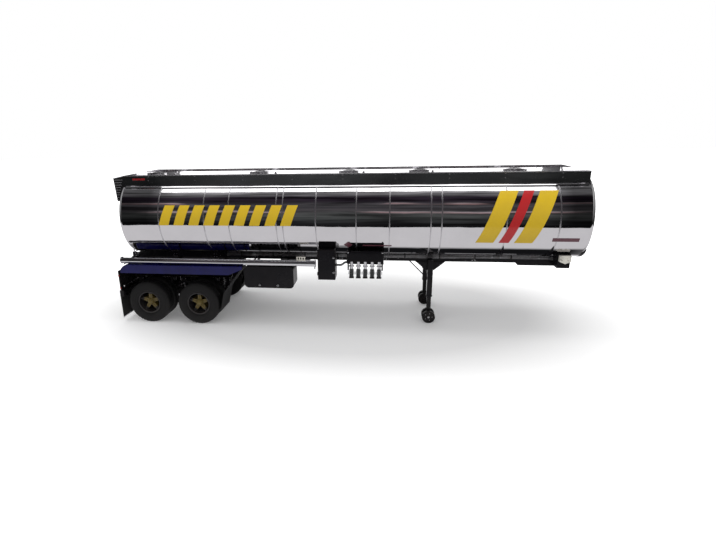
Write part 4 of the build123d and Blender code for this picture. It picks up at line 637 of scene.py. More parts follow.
def make_wheel_enamel(tones):
    """Cast wheel centres in ochre; rims, drums and backs in black."""
    made = sprayed_enamel("wheel_enamel", tones.ochre, 0.34, under=(0.10, 0.055, 0.03), dust=0.35,
                          wear=0.45, top=1.0, chips=1.0)
    tree = made.tree
    radius, out = wheel_radius(tree)
    ochre = maths(tree, "MULTIPLY", remap(tree, radius, 0.200, 0.170), remap(tree, out, 0.872, 0.884))
    painted = made.shader.inputs["Base Color"].links[0].from_socket
    dirt = made.group("road_grime", Colour=(*shade(tones.black, 1.6), 1), Dust=(*colours().dust, 1),
                      Amount=0.3, Top=1.0)
    made.set("Base Color", made.mix(ochre, dirt["Colour"], painted))


def make_lamp_lens(tones):
    """Red lens with fine ribs under a clear gloss."""
    made = Finish("lamp_lens", coat_weight=1.0, coat_roughness=0.04, roughness=0.25)
    spot = place_of(made.tree)
    ribs = put(made.tree, "ShaderNodeTexWave", {"Vector": spot, "Scale": 28.0, "Distortion": 0.0},
               wave_type="BANDS", bands_direction="Z")
    cloud = made.patches(14.0, 2.0)
    clear = made.mix(cloud, shade(tones.lens, 0.7), tones.lens)
    made.set("Base Color", made.mix(maths(made.tree, "MULTIPLY", ribs.outputs["Fac"], 0.6), clear,
                                    shade(tones.lens, 0.35)))
    made.bump(ribs.outputs["Fac"], 0.0015, 0.6)


def make_decal(name, top, bottom, rough=0.32):
    """Sign vinyl: colour darker downwards as painted shade, fine grain, a little fading and rubbed edges.
    """
    made = Finish(name, coat_weight=0.35, coat_roughness=0.12)
    z = put(made.tree, "ShaderNodeSeparateXYZ", {0: place_of(made.tree)}).outputs["Z"]
    # top colour above, its darker copy below: painted shade down the flank
    fall = remap(made.tree, z, 2.05, 3.0)
    cloud = made.patches(2.4, 2.0)
    plain = made.mix(fall, bottom, top)
    faded = made.mix(maths(made.tree, "MULTIPLY", cloud, 0.18), plain, shade(bottom, 0.55))
    rub = made.group("edge_rub", Reach=0.003, Amount=0.6)["Mask"]
    made.set("Base Color", made.mix(rub, faded, shade(bottom, 0.35)))
    made.set("Roughness", made.between(cloud, rough - 0.06, rough + 0.10))
    made.bump(made.group("fine_grain", Size=520.0)["Height"], 0.0003, 0.4)


def make_finishes(tones):
    """All the node groups, then all the finishes."""
    for make in (make_cloud_group, make_grime_group, make_edge_group, make_scratch_group, make_chip_group,
                 make_grain_group, make_sheet_group):
        make()
    polished_metal("polished_barrel", tones.polished, 0.035, 0.8, 0.010, grime=0.035, smears=0.022)
    polished_metal("bright_trim", tones.trim, 0.13, 2.2, 0.004, grime=0.14, smears=0.10)
    polished_metal("brushed_band", tones.trim, 0.40, 2.2, 0.003, grime=0.10, smears=0.12)
    polished_metal("tube_chrome", (0.88, 0.87, 0.89), 0.18, 2.2, 0.003, grime=0.06, smears=0.08)
    polished_metal("tread_plate", tones.trim, 0.30, 1.4, 0.004, grime=0.5, smears=0.15)
    sprayed_enamel("frame_enamel", tones.black, 0.24, dust=0.12, shine=0.18)
    sprayed_enamel("fender_enamel", tones.navy, 0.22, under=(0.03, 0.03, 0.06), dust=0.06, wear=0.4,
                   coat=0.25, chips=0.5, shine=0.2)
    sprayed_enamel("cap_enamel", shade(tones.black, 1.5), 0.30, dust=0.4)
    sprayed_enamel("box_enamel", tones.cream, 0.28, under=(0.24, 0.20, 0.17), dust=0.22, wear=0.5,
                   coat=0.4)
    sprayed_enamel("tank_enamel", tones.grey, 0.34, dust=0.5)
    sprayed_enamel("rim_black", shade(tones.black, 1.3), 0.34, dust=0.4, top=1.0)
    make_wheel_enamel(tones)
    moulded_rubber("tyre_rubber", tones.rubber)
    moulded_rubber("flap_rubber", shade(tones.rubber, 0.8), 0.5, dust=0.5, top=1.2, grain=260.0)
    moulded_rubber("gasket_rubber", shade(tones.rubber, 1.2), 0.55, dust=0.2)
    plated_steel("zinc_steel", (0.62, 0.62, 0.63), 0.26)
    plated_steel("kingpin_steel", (0.40, 0.39, 0.38), 0.30, rust=0.5)
    make_lamp_lens(tones)
    # Each decal's second colour is a darker copy of its first: painted shade low on the flank.
    make_decal("decal_yellow", tones.stripe, shade(tones.stripe, 0.70))
    make_decal("decal_red", tones.flash, shade(tones.flash, 0.7))
    make_decal("placard_maroon", tones.panel, shade(tones.panel, 0.8), 0.4)


FINISH_OF = {
    "tank_bright": "polished_barrel", "trim_bright": "bright_trim", "frame_black": "frame_enamel",
    "kingpin_steel": "kingpin_steel", "fender_blue": "fender_enamel", "flap_rubber": "flap_rubber",
    "lamp_red": "lamp_lens", "tube_chrome": "tube_chrome", "cap_black": "cap_enamel",
    "box_cream": "box_enamel", "tank_grey": "tank_enamel", "tyre": "tyre_rubber",
    "wheel_yellow": "wheel_enamel",
}
FINISH_BY_NODE = {"walkway": "tread_plate", "seam_bands": "brushed_band"}


class TANKTRAILER_OT_finishes(bpy.types.Operator):
    """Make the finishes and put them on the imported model's own nodes"""
    bl_idname = "tanktrailer.finishes"
    bl_label = "Finishes"

    def execute(self, context):
        make_finishes(colours())
        for name, node in NODES.items():
            finish = FINISH_BY_NODE.get(name, FINISH_OF[SLOT_OF[name]])
            node.data.materials.clear()
            node.data.materials.append(bpy.data.materials[finish])
        return {"FINISHED"}


# ------------------------------------------------------------------ tyres and wheels
RIM_RINGS = (   # out from the middle, length, radius and thickness of each ring on a rim
    (1.1945, 0.012, 0.2505, 0.026), (1.1835, 0.006, 0.2535, 0.020), (0.650, 0.010, 0.2505, 0.020))


def tyre_profile(step):
    """Half of a tyre's section at one step round it: (out from its middle, radius)."""
    depth = sizes().groove
    half = sizes().tyre_width / 2
    wave = 0.004 if (step // 2) % 2 else -0.004
    cut = 0.010 if step % 4 == 0 else 0.0
    top = TYRE_R
    tread = [(0.016 + wave, top), (0.018 + wave, top - depth),
             (0.028 + wave, top - depth), (0.030 + wave, top),
             (0.058 - wave, top - 0.001), (0.060 - wave, top - depth), (0.070 - wave, top - depth),
             (0.072 - wave, top - 0.0015), (0.084, top - 0.003), (0.090, top - 0.004 - cut),
             (0.100, top - 0.007 - cut), (0.110, top - 0.017 - cut),
             (half - 0.0125, top - 0.036 - 0.3 * cut)]
    wall = [(half - 0.0065, top - 0.066), (half - 0.0035, top - 0.082), (half - 0.0045, top - 0.085),
            (half - 0.0045, top - 0.092), (half - 0.0015, top - 0.096), (half, top - 0.135),
            (half - 0.001, top - 0.168), (half - 0.004, top - 0.172), (half - 0.004, top - 0.180),
            (half - 0.003, top - 0.184), (half - 0.010, top - 0.206), (half - 0.019, top - 0.222),
            (half - 0.027, top - 0.236), (half - 0.033, sizes().bead_radius + 0.004),
            (half - 0.038, sizes().bead_radius)]
    return tread + wall


def add_tyre(bm, x, y):
    """One tyre, its section swept round in steps."""
    steps = sizes().tread_steps
    rings = []
    for step in range(steps):
        right = tyre_profile(step)
        section = [(-u, r) for u, r in reversed(right)] + [(u, r) for u, r in right]
        turn = tau * step / steps
        rings.append([bm.verts.new((x + r * cos(turn), y + u, AXLE_Z + r * sin(turn)))
                      for u, r in section])
    for before, after in zip(rings, rings[1:] + rings[:1]):
        join_rings(bm, before, after)


def make_tyres(axle, side):
    """The outer and inner tyre at one end of an axle, in place of the plain ones."""
    bm = bmesh.new()
    out = SIDES[side]
    half = sizes().tyre_width / 2
    for y in (TYRE_OUT_Y - half, TYRE_IN_Y + half):
        add_tyre(bm, AXLE_X[axle], out * y)
    piece = make_piece(f"treaded_tyres_{axle}_{side}", bm, "tyre_rubber", f"wheels_{axle}_{side}", 34)
    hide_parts(f"tyres_{axle}_{side}")


def around(centre, out, radius, count, start=90.0):
    """Places round a wheel's face, with the directions they lie in."""
    for k in range(count):
        turn = radians(start) + tau * k / count
        reach = Vector((cos(turn), 0, sin(turn)))
        yield Vector((centre[0], 0, centre[1])) + reach * radius + Y * out, reach


def make_wheel_fittings(axle, side):
    """Rim rings and valve stem, clamps, nuts and hub cap, and a rib on each spoke."""
    out = SIDES[side]
    body = f"wheels_{axle}_{side}"
    centre = (AXLE_X[axle], AXLE_Z)
    hub = Vector((centre[0], 0, centre[1]))
    bm = bmesh.new()
    for y, long, radius, thick in RIM_RINGS:
        add_ring(bm, hub + Y * out * y, Y, radius, (long, thick), 72)
    for place, reach in around(centre, out * 1.150, 0.240, 1, 18.0):
        add_tube(bm, bent([place + reach * 0.004, place - reach * 0.01 + Y * out * 0.02,
                           place - reach * 0.035 + Y * out * 0.034], 0.008), 0.0045, 8)
    make_piece(f"rim_rings_{axle}_{side}", bm, "rim_black", body)

    bm = bmesh.new()
    for place, reach in around(centre, out * 1.108, 0.226, 5):
        frame_here = placed(place, reach, Y * out)
        add_box(bm, (-0.022, -0.024, 0), (0.024, 0.024, 0.016), 0.004, frame_here)
        add_box(bm, (0.010, -0.020, 0.012), (0.026, 0.020, 0.034), 0.004, frame_here)
        add_bolt(bm, place - reach * 0.006 + Y * out * 0.016, Y * out, 0.034)
    add_turned(bm, [(0.0, 0.094), (0.010, 0.094), (0.014, 0.090), (0.014, 0.062), (0.034, 0.060),
                    (0.052, 0.050), (0.062, 0.030), (0.065, 0.0)], hub + Y * out * 1.110, Y * out, 40)
    for place, _ in around(centre, out * 1.123, 0.078, 8, 22.5):
        add_bolt(bm, place, Y * out, 0.020)
    make_piece(f"hub_fittings_{axle}_{side}", bm, "wheel_enamel", body)

    bm = bmesh.new()
    for place, reach in around(centre, out * 1.1095, 0.155, 5):
        along = placed(place, reach, Y * out)
        rib = [(-0.062, -0.016), (0.052, -0.010), (0.052, 0.010), (-0.062, 0.016)]
        low = [bm.verts.new(along @ Vector((u, v, 0))) for u, v in rib]
        high = [bm.verts.new(along @ Vector((u * 0.94, v * 0.45, 0.014 if u < 0 else 0.009)))
                for u, v in rib]
        join_rings(bm, low, high)
        cap_ring(bm, low)
        cap_ring(bm, high)
    make_piece(f"spoke_ribs_{axle}_{side}", bm, "wheel_enamel", body)


class TANKTRAILER_OT_tyres(bpy.types.Operator):
    """Make the four pairs of tyres, with tread, bars and walls"""
    bl_idname = "tanktrailer.tyres"
    bl_label = "Tyres"

    def execute(self, context):
        for axle in AXLES:
            for side in SIDES:
                make_tyres(axle, side)
        return {"FINISHED"}


class TANKTRAILER_OT_wheel_fittings(bpy.types.Operator):
    """Make the rims' rings, clamps and nuts, hub caps, spoke ribs and valve stems"""
    bl_idname = "tanktrailer.wheel_fittings"
    bl_label = "Wheel fittings"

    def execute(self, context):
        for axle in AXLES:
            for side in SIDES:
                make_wheel_fittings(axle, side)
        return {"FINISHED"}


# ------------------------------------------------------------------ the barrel's markings
def degrees_for(distance):
    """The turn round the flank that covers a distance on it."""
    return distance / SIDE_R * 180 / pi


def add_slanted_bar(bm, side, x, wide, lean, turns, tall):
    """A bar on the flank between two turns, its top ahead of its foot by the lean."""
    low, high = turns

    def point(u, v, lift):
        return on_barrel(x + u * wide + v * lean, low + v * (high - low), lift, side)
    add_skin(bm, point, 0.0042, 3, tall)


def make_markings(side):
    """Slanted bars behind the middle and beside the front, and blank panels."""
    out = SIDES[side]
    yellow = bmesh.new()
    count, lean = sizes().stripes, sizes().stripe_lean
    pitch = (3.35 - lean) / count
    for k in range(count):
        add_slanted_bar(yellow, out, -4.13 + k * pitch, 0.66 * pitch, lean, (-5.0, 24.0), 12)
    for x in (2.88, 3.66):
        add_slanted_bar(yellow, out, x, 0.36, 0.45, (-29.0, 45.0), 28)
    make_piece(f"stripes_yellow_{side}", yellow, "decal_yellow")

    red = bmesh.new()
    add_slanted_bar(red, out, 3.35, 0.20, 0.45, (-29.0, 45.0), 28)
    make_piece(f"stripes_red_{side}", red, "decal_red")

    blank = bmesh.new()
    add_slanted_bar(blank, out, 0.50, 0.63, 0.0, (-38.2, -36.0), 3)
    add_slanted_bar(blank, out, 4.40, 0.52, 0.0, (-26.0, -20.5), 4)
    half = degrees_for(0.07)

    def diamond(u, v, lift):
        a, b = u - 0.5, v - 0.5
        return on_barrel(0.18 + 0.14 * (a + b) * 0.7, -36.0 + (b - a) * 1.4 * half, lift, out)
    add_skin(blank, diamond, 0.0038, 5, 5)
    make_piece(f"blank_panels_{side}", blank, "placard_maroon")


class TANKTRAILER_OT_markings(bpy.types.Operator):
    """Make the barrel's slanted stripes and blank panels, on both flanks"""
    bl_idname = "tanktrailer.markings"
    bl_label = "Markings"

    def execute(self, context):
        for side in SIDES:
            make_markings(side)
        return {"FINISHED"}


# ------------------------------------------------------------------ on the deck
def make_lid_fittings(number):
    """On a lid: the fill cover's ring and hinge, its handle, the latch hook and the rim's bolts."""
    x, z = LID_X[number], LID_Z
    body = f"manhole_lid_{number}"
    bm = bmesh.new()
    add_ring(bm, (x, 0, z + 0.029), Z, 0.104, (0.006, 0.014), 40)
    for side in SIDES.values():
        y = side * 0.052
        handle = [(x - 0.045, y, z + 0.026), (x - 0.045, y, z + 0.0335), (x + 0.045, y, z + 0.0335),
                  (x + 0.045, y, z + 0.026)]
        add_tube(bm, bent(handle, 0.005), 0.0022, 6)
    for k in range(12):
        turn = radians(15 + 30 * k)
        add_rivet(bm, (x + 0.190 * cos(turn), 0.190 * sin(turn), z + 0.011), Z, 0.008)
    add_box(bm, (x + 0.170, -0.020, z + 0.009), (x + 0.212, 0.020, z + 0.018), 0.003)
    add_box(bm, (x + 0.205, -0.012, z - 0.010), (x + 0.213, 0.012, z + 0.018), 0.002)
    make_piece(f"lid_fittings_{number}", bm, "bright_trim", body)


def make_collar_fittings():
    """Clamp rings and their bolts round the collars, and two vents beside each."""
    bm = bmesh.new()
    for number in LIDS:
        x = LID_X[number]
        add_ring(bm, (x, 0, LID_Z - 0.048), Z, LID_R + 0.0005, (0.012, 0.024), 48)
        for k in range(16):
            turn = tau * (k + 0.5) / 16
            add_bolt(bm, (x + 0.220 * cos(turn), 0.220 * sin(turn), LID_Z - 0.042), Z, 0.013)
        for y in (-0.27, 0.27):
            add_turned(bm, [(0.0, 0.036), (0.010, 0.036), (0.012, 0.022), (0.030, 0.022),
                            (0.032, 0.030), (0.040, 0.030), (0.046, 0.022), (0.048, 0.0)],
                       (x + 0.31, y, crown_z(y) - 0.002), Z, 20)
    make_piece("collar_fittings", bm, "bright_trim")


def make_walkway_lugs():
    """Raised lugs in a chequered pattern on the walkway plate."""
    low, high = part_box("walkway")
    pitch = sizes().lug_pitch
    bm = bmesh.new()
    columns = int((high.x - low.x - 0.02) / pitch)
    rows = int((high.y - low.y - 0.01) / (pitch * 0.75))
    for i in range(columns):
        for j in range(rows):
            x = low.x + 0.02 + (i + 0.5) * pitch
            y = low.y + 0.012 + (j + 0.5) * pitch * 0.75
            turn = pi / 4 if (i + j) % 2 else -pi / 4
            along = Vector((cos(turn), sin(turn), 0)) * 0.015
            across = Vector((-sin(turn), cos(turn), 0)) * 0.0045
            at = Vector((x, y, high.z - 0.0003))
            rim = [bm.verts.new(at + p) for p in (along, across, -along, -across)]
            top = bm.verts.new(at + Z * 0.0024)
            join_rings(bm, rim, [top])
            bm.faces.new(rim)
    make_piece("walkway_lugs", bm, "tread_plate", soft_angle=20)


def add_foot_strip(bm, side, section):
    """A sloped strip along the foot of a spill rail, from its (y, z) section."""
    rings = []
    for x in (COAMING_LOW.x + 0.02, COAMING_HIGH.x - 0.02):
        rings.append([bm.verts.new((x, side * y, z)) for y, z in section])
    join_rings(bm, *rings)
    for ring in rings:
        cap_ring(bm, ring)


def make_coaming_fittings():
    """The spill rails' braces, rivets and lip beads, and the sloped strips at their feet."""
    bm = bmesh.new()
    top = COAMING_HIGH.z
    count = int((COAMING_HIGH.x - COAMING_LOW.x) / sizes().brace_pitch)
    for side in SIDES.values():
        add_tube(bm, [(COAMING_LOW.x + 0.01, side * 0.831, top - 0.007),
                      (COAMING_HIGH.x - 0.01, side * 0.831, top - 0.007)], 0.0055, 10)
        for k in range(count):
            x = COAMING_LOW.x + (k + 0.5) * (COAMING_HIGH.x - COAMING_LOW.x) / count
            foot = crown_z(0.70)
            shape = [(0, top - 0.03), (0, crown_z(COAMING_IN_Y) + 0.002), (0.10, foot + 0.001),
                     (0.08, foot + 0.014), (0.014, top - 0.03)]
            place = placed((x, side * COAMING_IN_Y, 0), (0, -side, 0), (-side, 0, 0))
            add_plate(bm, shape, 0.008, place)
            for up in (0.035, 0.12):
                add_rivet(bm, (x + 0.03, side * COAMING_OUT_Y, top - up), (0, side, 0), 0.010)
    make_piece("coaming_braces", bm, "bright_trim")

    bm = bmesh.new()
    for side in SIDES.values():
        add_foot_strip(bm, side, [(COAMING_OUT_Y, 3.257), (0.8085, 3.2575), (0.8495, 3.2200),
                                  (0.8480, 3.2010), (0.8440, 3.2010)])
        add_foot_strip(bm, side, [(0.7995, 3.4350), (0.7945, 3.4350), (0.6860, 3.3085),
                                  (0.6940, 3.3085)])
    make_piece("coaming_feet", bm, "polished_barrel")


def make_tail_guard_mesh():
    """Crossed bars in the two tail guard frames."""
    bm = bmesh.new()
    back, front = -5.318, -5.052
    for side in SIDES.values():
        y = side * 0.7975
        for k in range(9):
            z = 2.93 + 0.058 * k
            x = back + (0.004 if z > 3.40 else 0.0)
            ahead = front - 0.012 + (3.495 - z) * -0.35
            add_tube(bm, [(x + 0.008, y + side * 0.006, z), (ahead, y + side * 0.006, z)], 0.0030, 6)
        add_tube(bm, [(-5.046, y, 3.488), (-5.324, y, 3.429), (-5.296, y, 2.904)], 0.0060, 8)
    make_piece("tail_guard_bars", bm, "bright_trim")


def make_reflectors():
    """A long red reflector at the rear of each spill rail."""
    bm = bmesh.new()
    for side in SIDES.values():
        place = placed((-4.69, side * 0.8055, 3.405), X, (0, side, 0))
        add_box(bm, (-0.15, -0.022, 0), (0.15, 0.022, 0.006), 0.002, place)
    make_piece("deck_reflectors", bm, "lamp_lens")


class TANKTRAILER_OT_deck(bpy.types.Operator):
    """Make the lids', collars', walkway's and spill rails' small parts"""
    bl_idname = "tanktrailer.deck"
    bl_label = "Deck fittings"

    def execute(self, context):
        for number in LIDS:
            make_lid_fittings(number)
        make_collar_fittings()
        make_walkway_lugs()
        make_coaming_fittings()
        make_tail_guard_mesh()
        make_reflectors()
        return {"FINISHED"}


# ------------------------------------------------------------------ frame and running gear
def make_frame_bolts():
    """Bolts where crossmembers, hangers and pads meet the rails, and round the coupler plate."""
    bm = bmesh.new()
    stations = [-5.18 + k * (LEG_X + 5.18) / 7 for k in range(8)] + [(LEG_X + 3.95) / 2]
    for side in SIDES.values():
        y = side * (WEB_Y + 0.0005)
        for x in stations:
            for dx in (-0.03, 0.03):
                for z in (RAIL_Z + 0.04, RAIL_Z + 0.10):
                    add_bolt(bm, (x + dx, y, z), (0, side, 0), 0.022)
        for x in PAD_X:
            for dx in (-0.09, 0.09):
                add_bolt(bm, (x + dx, side * (WEB_Y + 0.0125), RAIL_Z + 0.12), (0, side, 0), 0.026)
        for x in (3.0, -4.2, -3.0, -1.9, 0.3, 1.3):
            add_rivet(bm, (x, y, RAIL_Z + 0.065), (0, side, 0), 0.012)
    for k in range(7):
        x = 4.01 + 0.135 * k
        for y in (-0.38, 0.38):
            add_rivet(bm, (x, y, 1.3905), (0, 0, -1), 0.014)
    make_piece("frame_bolts", bm, "zinc_steel")


def make_rail_lines():
    """The air and lamp lines along the right-hand rail, in clips."""
    bm = bmesh.new()
    for z, radius in ((1.560, 0.009), (1.590, 0.006), (1.535, 0.006)):
        route = [(-2.90, -0.470, z - 0.05), (-2.78, LINE_Y, z), (-0.9, LINE_Y, z), (2.55, LINE_Y, z),
                 (2.72, LINE_Y, z + 0.012), (4.55, LINE_Y, z + 0.012), (4.70, -0.70, z + 0.03),
                 (4.72, -0.88, z + 0.03)]
        add_tube(bm, bent(route, 0.04), radius, 8)
    make_piece("rail_lines", bm, "zinc_steel")

    bm = bmesh.new()
    for k in range(9):
        x = -2.45 + 0.78 * k
        add_box(bm, (x - 0.013, -0.5335, 1.520), (x + 0.013, -0.507, 1.608), 0.003)
    make_piece("line_clips", bm, "gasket_rubber")


class TANKTRAILER_OT_frame(bpy.types.Operator):
    """Make the frame's bolts and the lines along its rail"""
    bl_idname = "tanktrailer.frame"
    bl_label = "Frame fittings"

    def execute(self, context):
        make_frame_bolts()
        make_rail_lines()
        return {"FINISHED"}


def make_spring_clamps():
    """U-bolts, plates and clips that hold the leaf springs to the axles."""
    bm = bmesh.new()
    for axle in AXLES:
        x = AXLE_X[axle]
        for side in SIDES.values():
            y = side * SPRING_Y
            add_box(bm, (x - 0.085, y - 0.060, 0.6675), (x + 0.085, y + 0.060, 0.684), 0.004)
            add_box(bm, (x - 0.085, y - 0.060, 0.425), (x + 0.085, y + 0.060, 0.441), 0.004)
            for dx in (-0.062, 0.062):
                for dy in (-0.048, 0.048):
                    add_tube(bm, [(x + dx, y + dy, 0.395), (x + dx, y + dy, 0.712)], 0.008, 8)
                    add_bolt(bm, (x + dx, y + dy, 0.425), (0, 0, -1), 0.024)
                    add_bolt(bm, (x + dx, y + dy, 0.684), (0, 0, 1), 0.024)
            for at in (x - CLAMP_DX, x + CLAMP_DX):
                add_box(bm, (at - 0.014, y - 0.043, 0.596 + CLIP_DROP),
                        (at + 0.014, y + 0.043, 0.602 + CLIP_DROP), 0.002)
                for dy in (-0.041, 0.041):
                    add_box(bm, (at - 0.014, y + dy - 0.002, 0.598 + CLIP_DROP),
                            (at + 0.014, y + dy + 0.002, 0.668 + CLIP_DROP), 0.001)
                add_tube(bm, [(at, y - 0.047, 0.673 + CLIP_DROP), (at, y + 0.047, 0.673 + CLIP_DROP)],
                         0.005, 8)
    make_piece("spring_clamps", bm, "zinc_steel")


def make_suspension_fittings():
    """Pins' nuts on the hangers, and the brake chambers' bands and hoses' unions."""
    bm = bmesh.new()
    for side in SIDES.values():
        face = side * (SPRING_Y + 0.0705)
        for x in HANGER_X:
            add_bolt(bm, (x, side * (SPRING_Y + 0.0555), 0.72), (0, side, 0), 0.040)
            for dx in (-0.05, 0.05):
                add_bolt(bm, (x + dx, side * (SPRING_Y + 0.0555), 0.90), (0, side, 0), 0.024)
        add_bolt(bm, (HANGER_X[1], face, 0.785), (0, side, 0), 0.046)
        for axle in AXLES:
            x = AXLE_X[axle]
            for dx in (0.215, 0.295):
                add_ring(bm, (x - dx, side * CHAMBER_Y, 0.573), X, 0.0775, (0.014, 0.008), 28)
            add_turned(bm, [(0, 0.012), (0.02, 0.012), (0.022, 0.008), (0.04, 0.008)],
                       (x - 0.25, side * CHAMBER_Y, 0.645), Z, 10)
    make_piece("suspension_fittings", bm, "zinc_steel")


class TANKTRAILER_OT_suspension(bpy.types.Operator):
    """Make the springs' U-bolts and clips, the hangers' nuts and the chambers' bands"""
    bl_idname = "tanktrailer.suspension"
    bl_label = "Suspension fittings"

    def execute(self, context):
        make_spring_clamps()
        make_suspension_fittings()
        return {"FINISHED"}


def make_landing_fittings():
    """Bolts and collars on the legs, the gearbox cover, the crank's grip and the wheels' nuts."""
    bm = bmesh.new()
    for side in SIDES.values():
        y = side * LEG_Y
        for dz in (1.485, 1.30, 1.12):
            for dx in (-0.04, 0.04):
                add_bolt(bm, (LEG_X + dx, y + side * 0.0592, dz), (0, side, 0), 0.020)
        add_box(bm, (LEG_X - 0.066, y - 0.066, 0.640), (LEG_X + 0.066, y + 0.066, 0.668), 0.004)
        add_box(bm, (LEG_X - 0.063, y - 0.063, 1.18), (LEG_X + 0.063, y + 0.063, 1.196), 0.003)
    add_box(bm, (LEG_X - GEARBOX_HALF, 0.7292, SHAFT_Z - 0.082),
            (LEG_X + GEARBOX_HALF, 0.737, SHAFT_Z + 0.082), 0.004)
    for dx in (-0.055, 0.055):
        for dz in (-0.068, 0.068):
            add_bolt(bm, (LEG_X + dx, 0.737, SHAFT_Z + dz), (0, 1, 0), 0.018)
    make_piece("leg_fittings", bm, "frame_enamel")

    bm = bmesh.new()
    for k in range(6):
        add_ring(bm, (LEG_X, 0.842 + 0.016 * k, GRIP_Z), Y, 0.0122, (0.008, 0.0035), 20)
    make_piece("crank_grip", bm, "gasket_rubber")

    for side, out in SIDES.items():
        bm = bmesh.new()
        low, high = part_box(f"landing_wheels_{side}")
        y = (high if out > 0 else low).y
        centre = Vector((LEG_X, y, (low.z + high.z) / 2))
        add_bolt(bm, centre, (0, out, 0), 0.040)
        for k in range(5):
            turn = tau * k / 5
            spot = centre + Vector((0.085 * cos(turn), -out * 0.0142, 0.085 * sin(turn)))
            add_rivet(bm, spot, (0, out, 0), 0.012)
        make_piece(f"landing_hub_{side}", bm, "zinc_steel", f"landing_wheels_{side}")


class TANKTRAILER_OT_landing(bpy.types.Operator):
    """Make the landing gear's bolts, collars, cover, grip and hub nuts"""
    bl_idname = "tanktrailer.landing"
    bl_label = "Landing gear fittings"

    def execute(self, context):
        make_landing_fittings()
        return {"FINISHED"}


# ------------------------------------------------------------------ fenders and tail
def make_fender_trim(side):
    """A bead along the fender's lower edge, and rivets at its stays."""
    out = SIDES[side]
    top, bottom = FENDER_HIGH.z, FENDER_LOW.z
    face = out * (FENDER_HIGH.y - 0.0065)
    bm = bmesh.new()
    add_tube(bm, bent([(FENDER_LOW.x + 0.006, face, bottom + 0.006), (-2.575, face, bottom + 0.006),
                       (-2.36, face, 1.370)], 0.05), 0.006, 10)
    make_piece(f"fender_bead_{side}", bm, "bright_trim")

    bm = bmesh.new()
    for x in STAY_X:
        for y in (0.70, 0.90, 1.10):
            for dx in (-0.018, 0.018):
                add_rivet(bm, (x + dx, out * y, top - 0.0003), Z, 0.009)
    make_piece(f"fender_rivets_{side}", bm, "fender_enamel")


def make_flap_trim():
    """Bright weights along the flaps' feet, the flaps' top clamps, and their bolts."""
    bm = bmesh.new()
    flap_low, flap_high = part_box("mudflaps")
    face = flap_high.x
    for side in SIDES.values():
        y = side * 0.9
        add_box(bm, (face, y - 0.298, flap_low.z + 0.004), (face + 0.007, y + 0.298, 0.125), 0.002)
        add_box(bm, (face, y - 0.290, 0.722), (face + 0.006, y + 0.290, 0.752), 0.002)
        for k in range(5):
            add_bolt(bm, (face + 0.006, y - 0.24 + 0.12 * k, 0.737), X, 0.018)
            add_rivet(bm, (face + 0.007, y - 0.24 + 0.12 * k, 0.110), X, 0.008)
        add_tube(bm, bent([(-5.243, side * 0.51, 0.90), (-5.243, side * 1.150, 0.90)], 0.01), 0.011, 10)
        for dy in (0.52, 0.82, 1.14):
            add_ring(bm, (-5.243, side * dy, 0.90), Y, 0.0105, (0.022, 0.006), 16)
    make_piece("flap_trim", bm, "bright_trim")


def make_tail_lights():
    """Rims and ribs of the tail lamps, side lamps on the panels, and the tail's bolts."""
    low_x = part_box("tail_lamps")[0].x
    bm = bmesh.new()
    for side in SIDES.values():
        for y in LAMP_Y:
            add_ring(bm, (low_x + 0.014, side * y, LAMP_Z), X, 0.0503, (0.016, 0.0075), 36)
    make_piece("lamp_rims", bm, "bright_trim")

    bm = bmesh.new()
    for side in SIDES.values():
        face = side * 1.2003
        for z in (1.17, 0.86):
            add_turned(bm, [(0.0, 0.019), (0.006, 0.0185), (0.011, 0.013), (0.013, 0.0)],
                       (-5.311, face, z), (0, side, 0), 20)
    for side in SIDES.values():
        for y in LAMP_Y:
            for k in range(5):
                up = 0.016 * (k - 2)
                reach = sqrt(0.045 ** 2 - up ** 2)
                add_tube(bm, [(low_x - 0.0003, side * y - reach, LAMP_Z + up),
                              (low_x - 0.0003, side * y + reach, LAMP_Z + up)], 0.0016, 6)
    make_piece("lamp_details", bm, "lamp_lens")

    bm = bmesh.new()
    for side in SIDES.values():
        for y in (0.425, 0.48):
            for z in (0.68, 0.75):
                add_bolt(bm, (TAIL_X, side * y, z), -X, 0.020)
        for z in (0.83, 1.02):
            for y in (0.68, 1.12):
                add_bolt(bm, (PANEL_X, side * y, z), -X, 0.018)
    for y in LADDER_Y:
        for z in (0.87, 1.55, 2.4, 3.3):
            add_rivet(bm, (TAIL_X, y, z), -X, 0.009)
    make_piece("tail_bolts", bm, "zinc_steel")


class TANKTRAILER_OT_tail(bpy.types.Operator):
    """Make the trim and small parts of the fenders, flaps, lamps and bumper"""
    bl_idname = "tanktrailer.tail"
    bl_label = "Fender and tail fittings"

    def execute(self, context):
        for side in SIDES:
            make_fender_trim(side)
        make_flap_trim()
        make_tail_lights()
        return {"FINISHED"}


# ------------------------------------------------------------------ tube, locker and cabinet
def add_tee_latch(bm, at, out):
    """A round escutcheon with a T handle."""
    at, out = Vector(at), Vector(out)
    add_turned(bm, [(0, 0.026), (0.004, 0.025), (0.006, 0.012), (0.014, 0.011)], at, out, 24)
    here = placed(at + out * 0.014, X, out)
    add_box(bm, (-0.030, -0.007, 0), (0.030, 0.007, 0.011), 0.003, here)


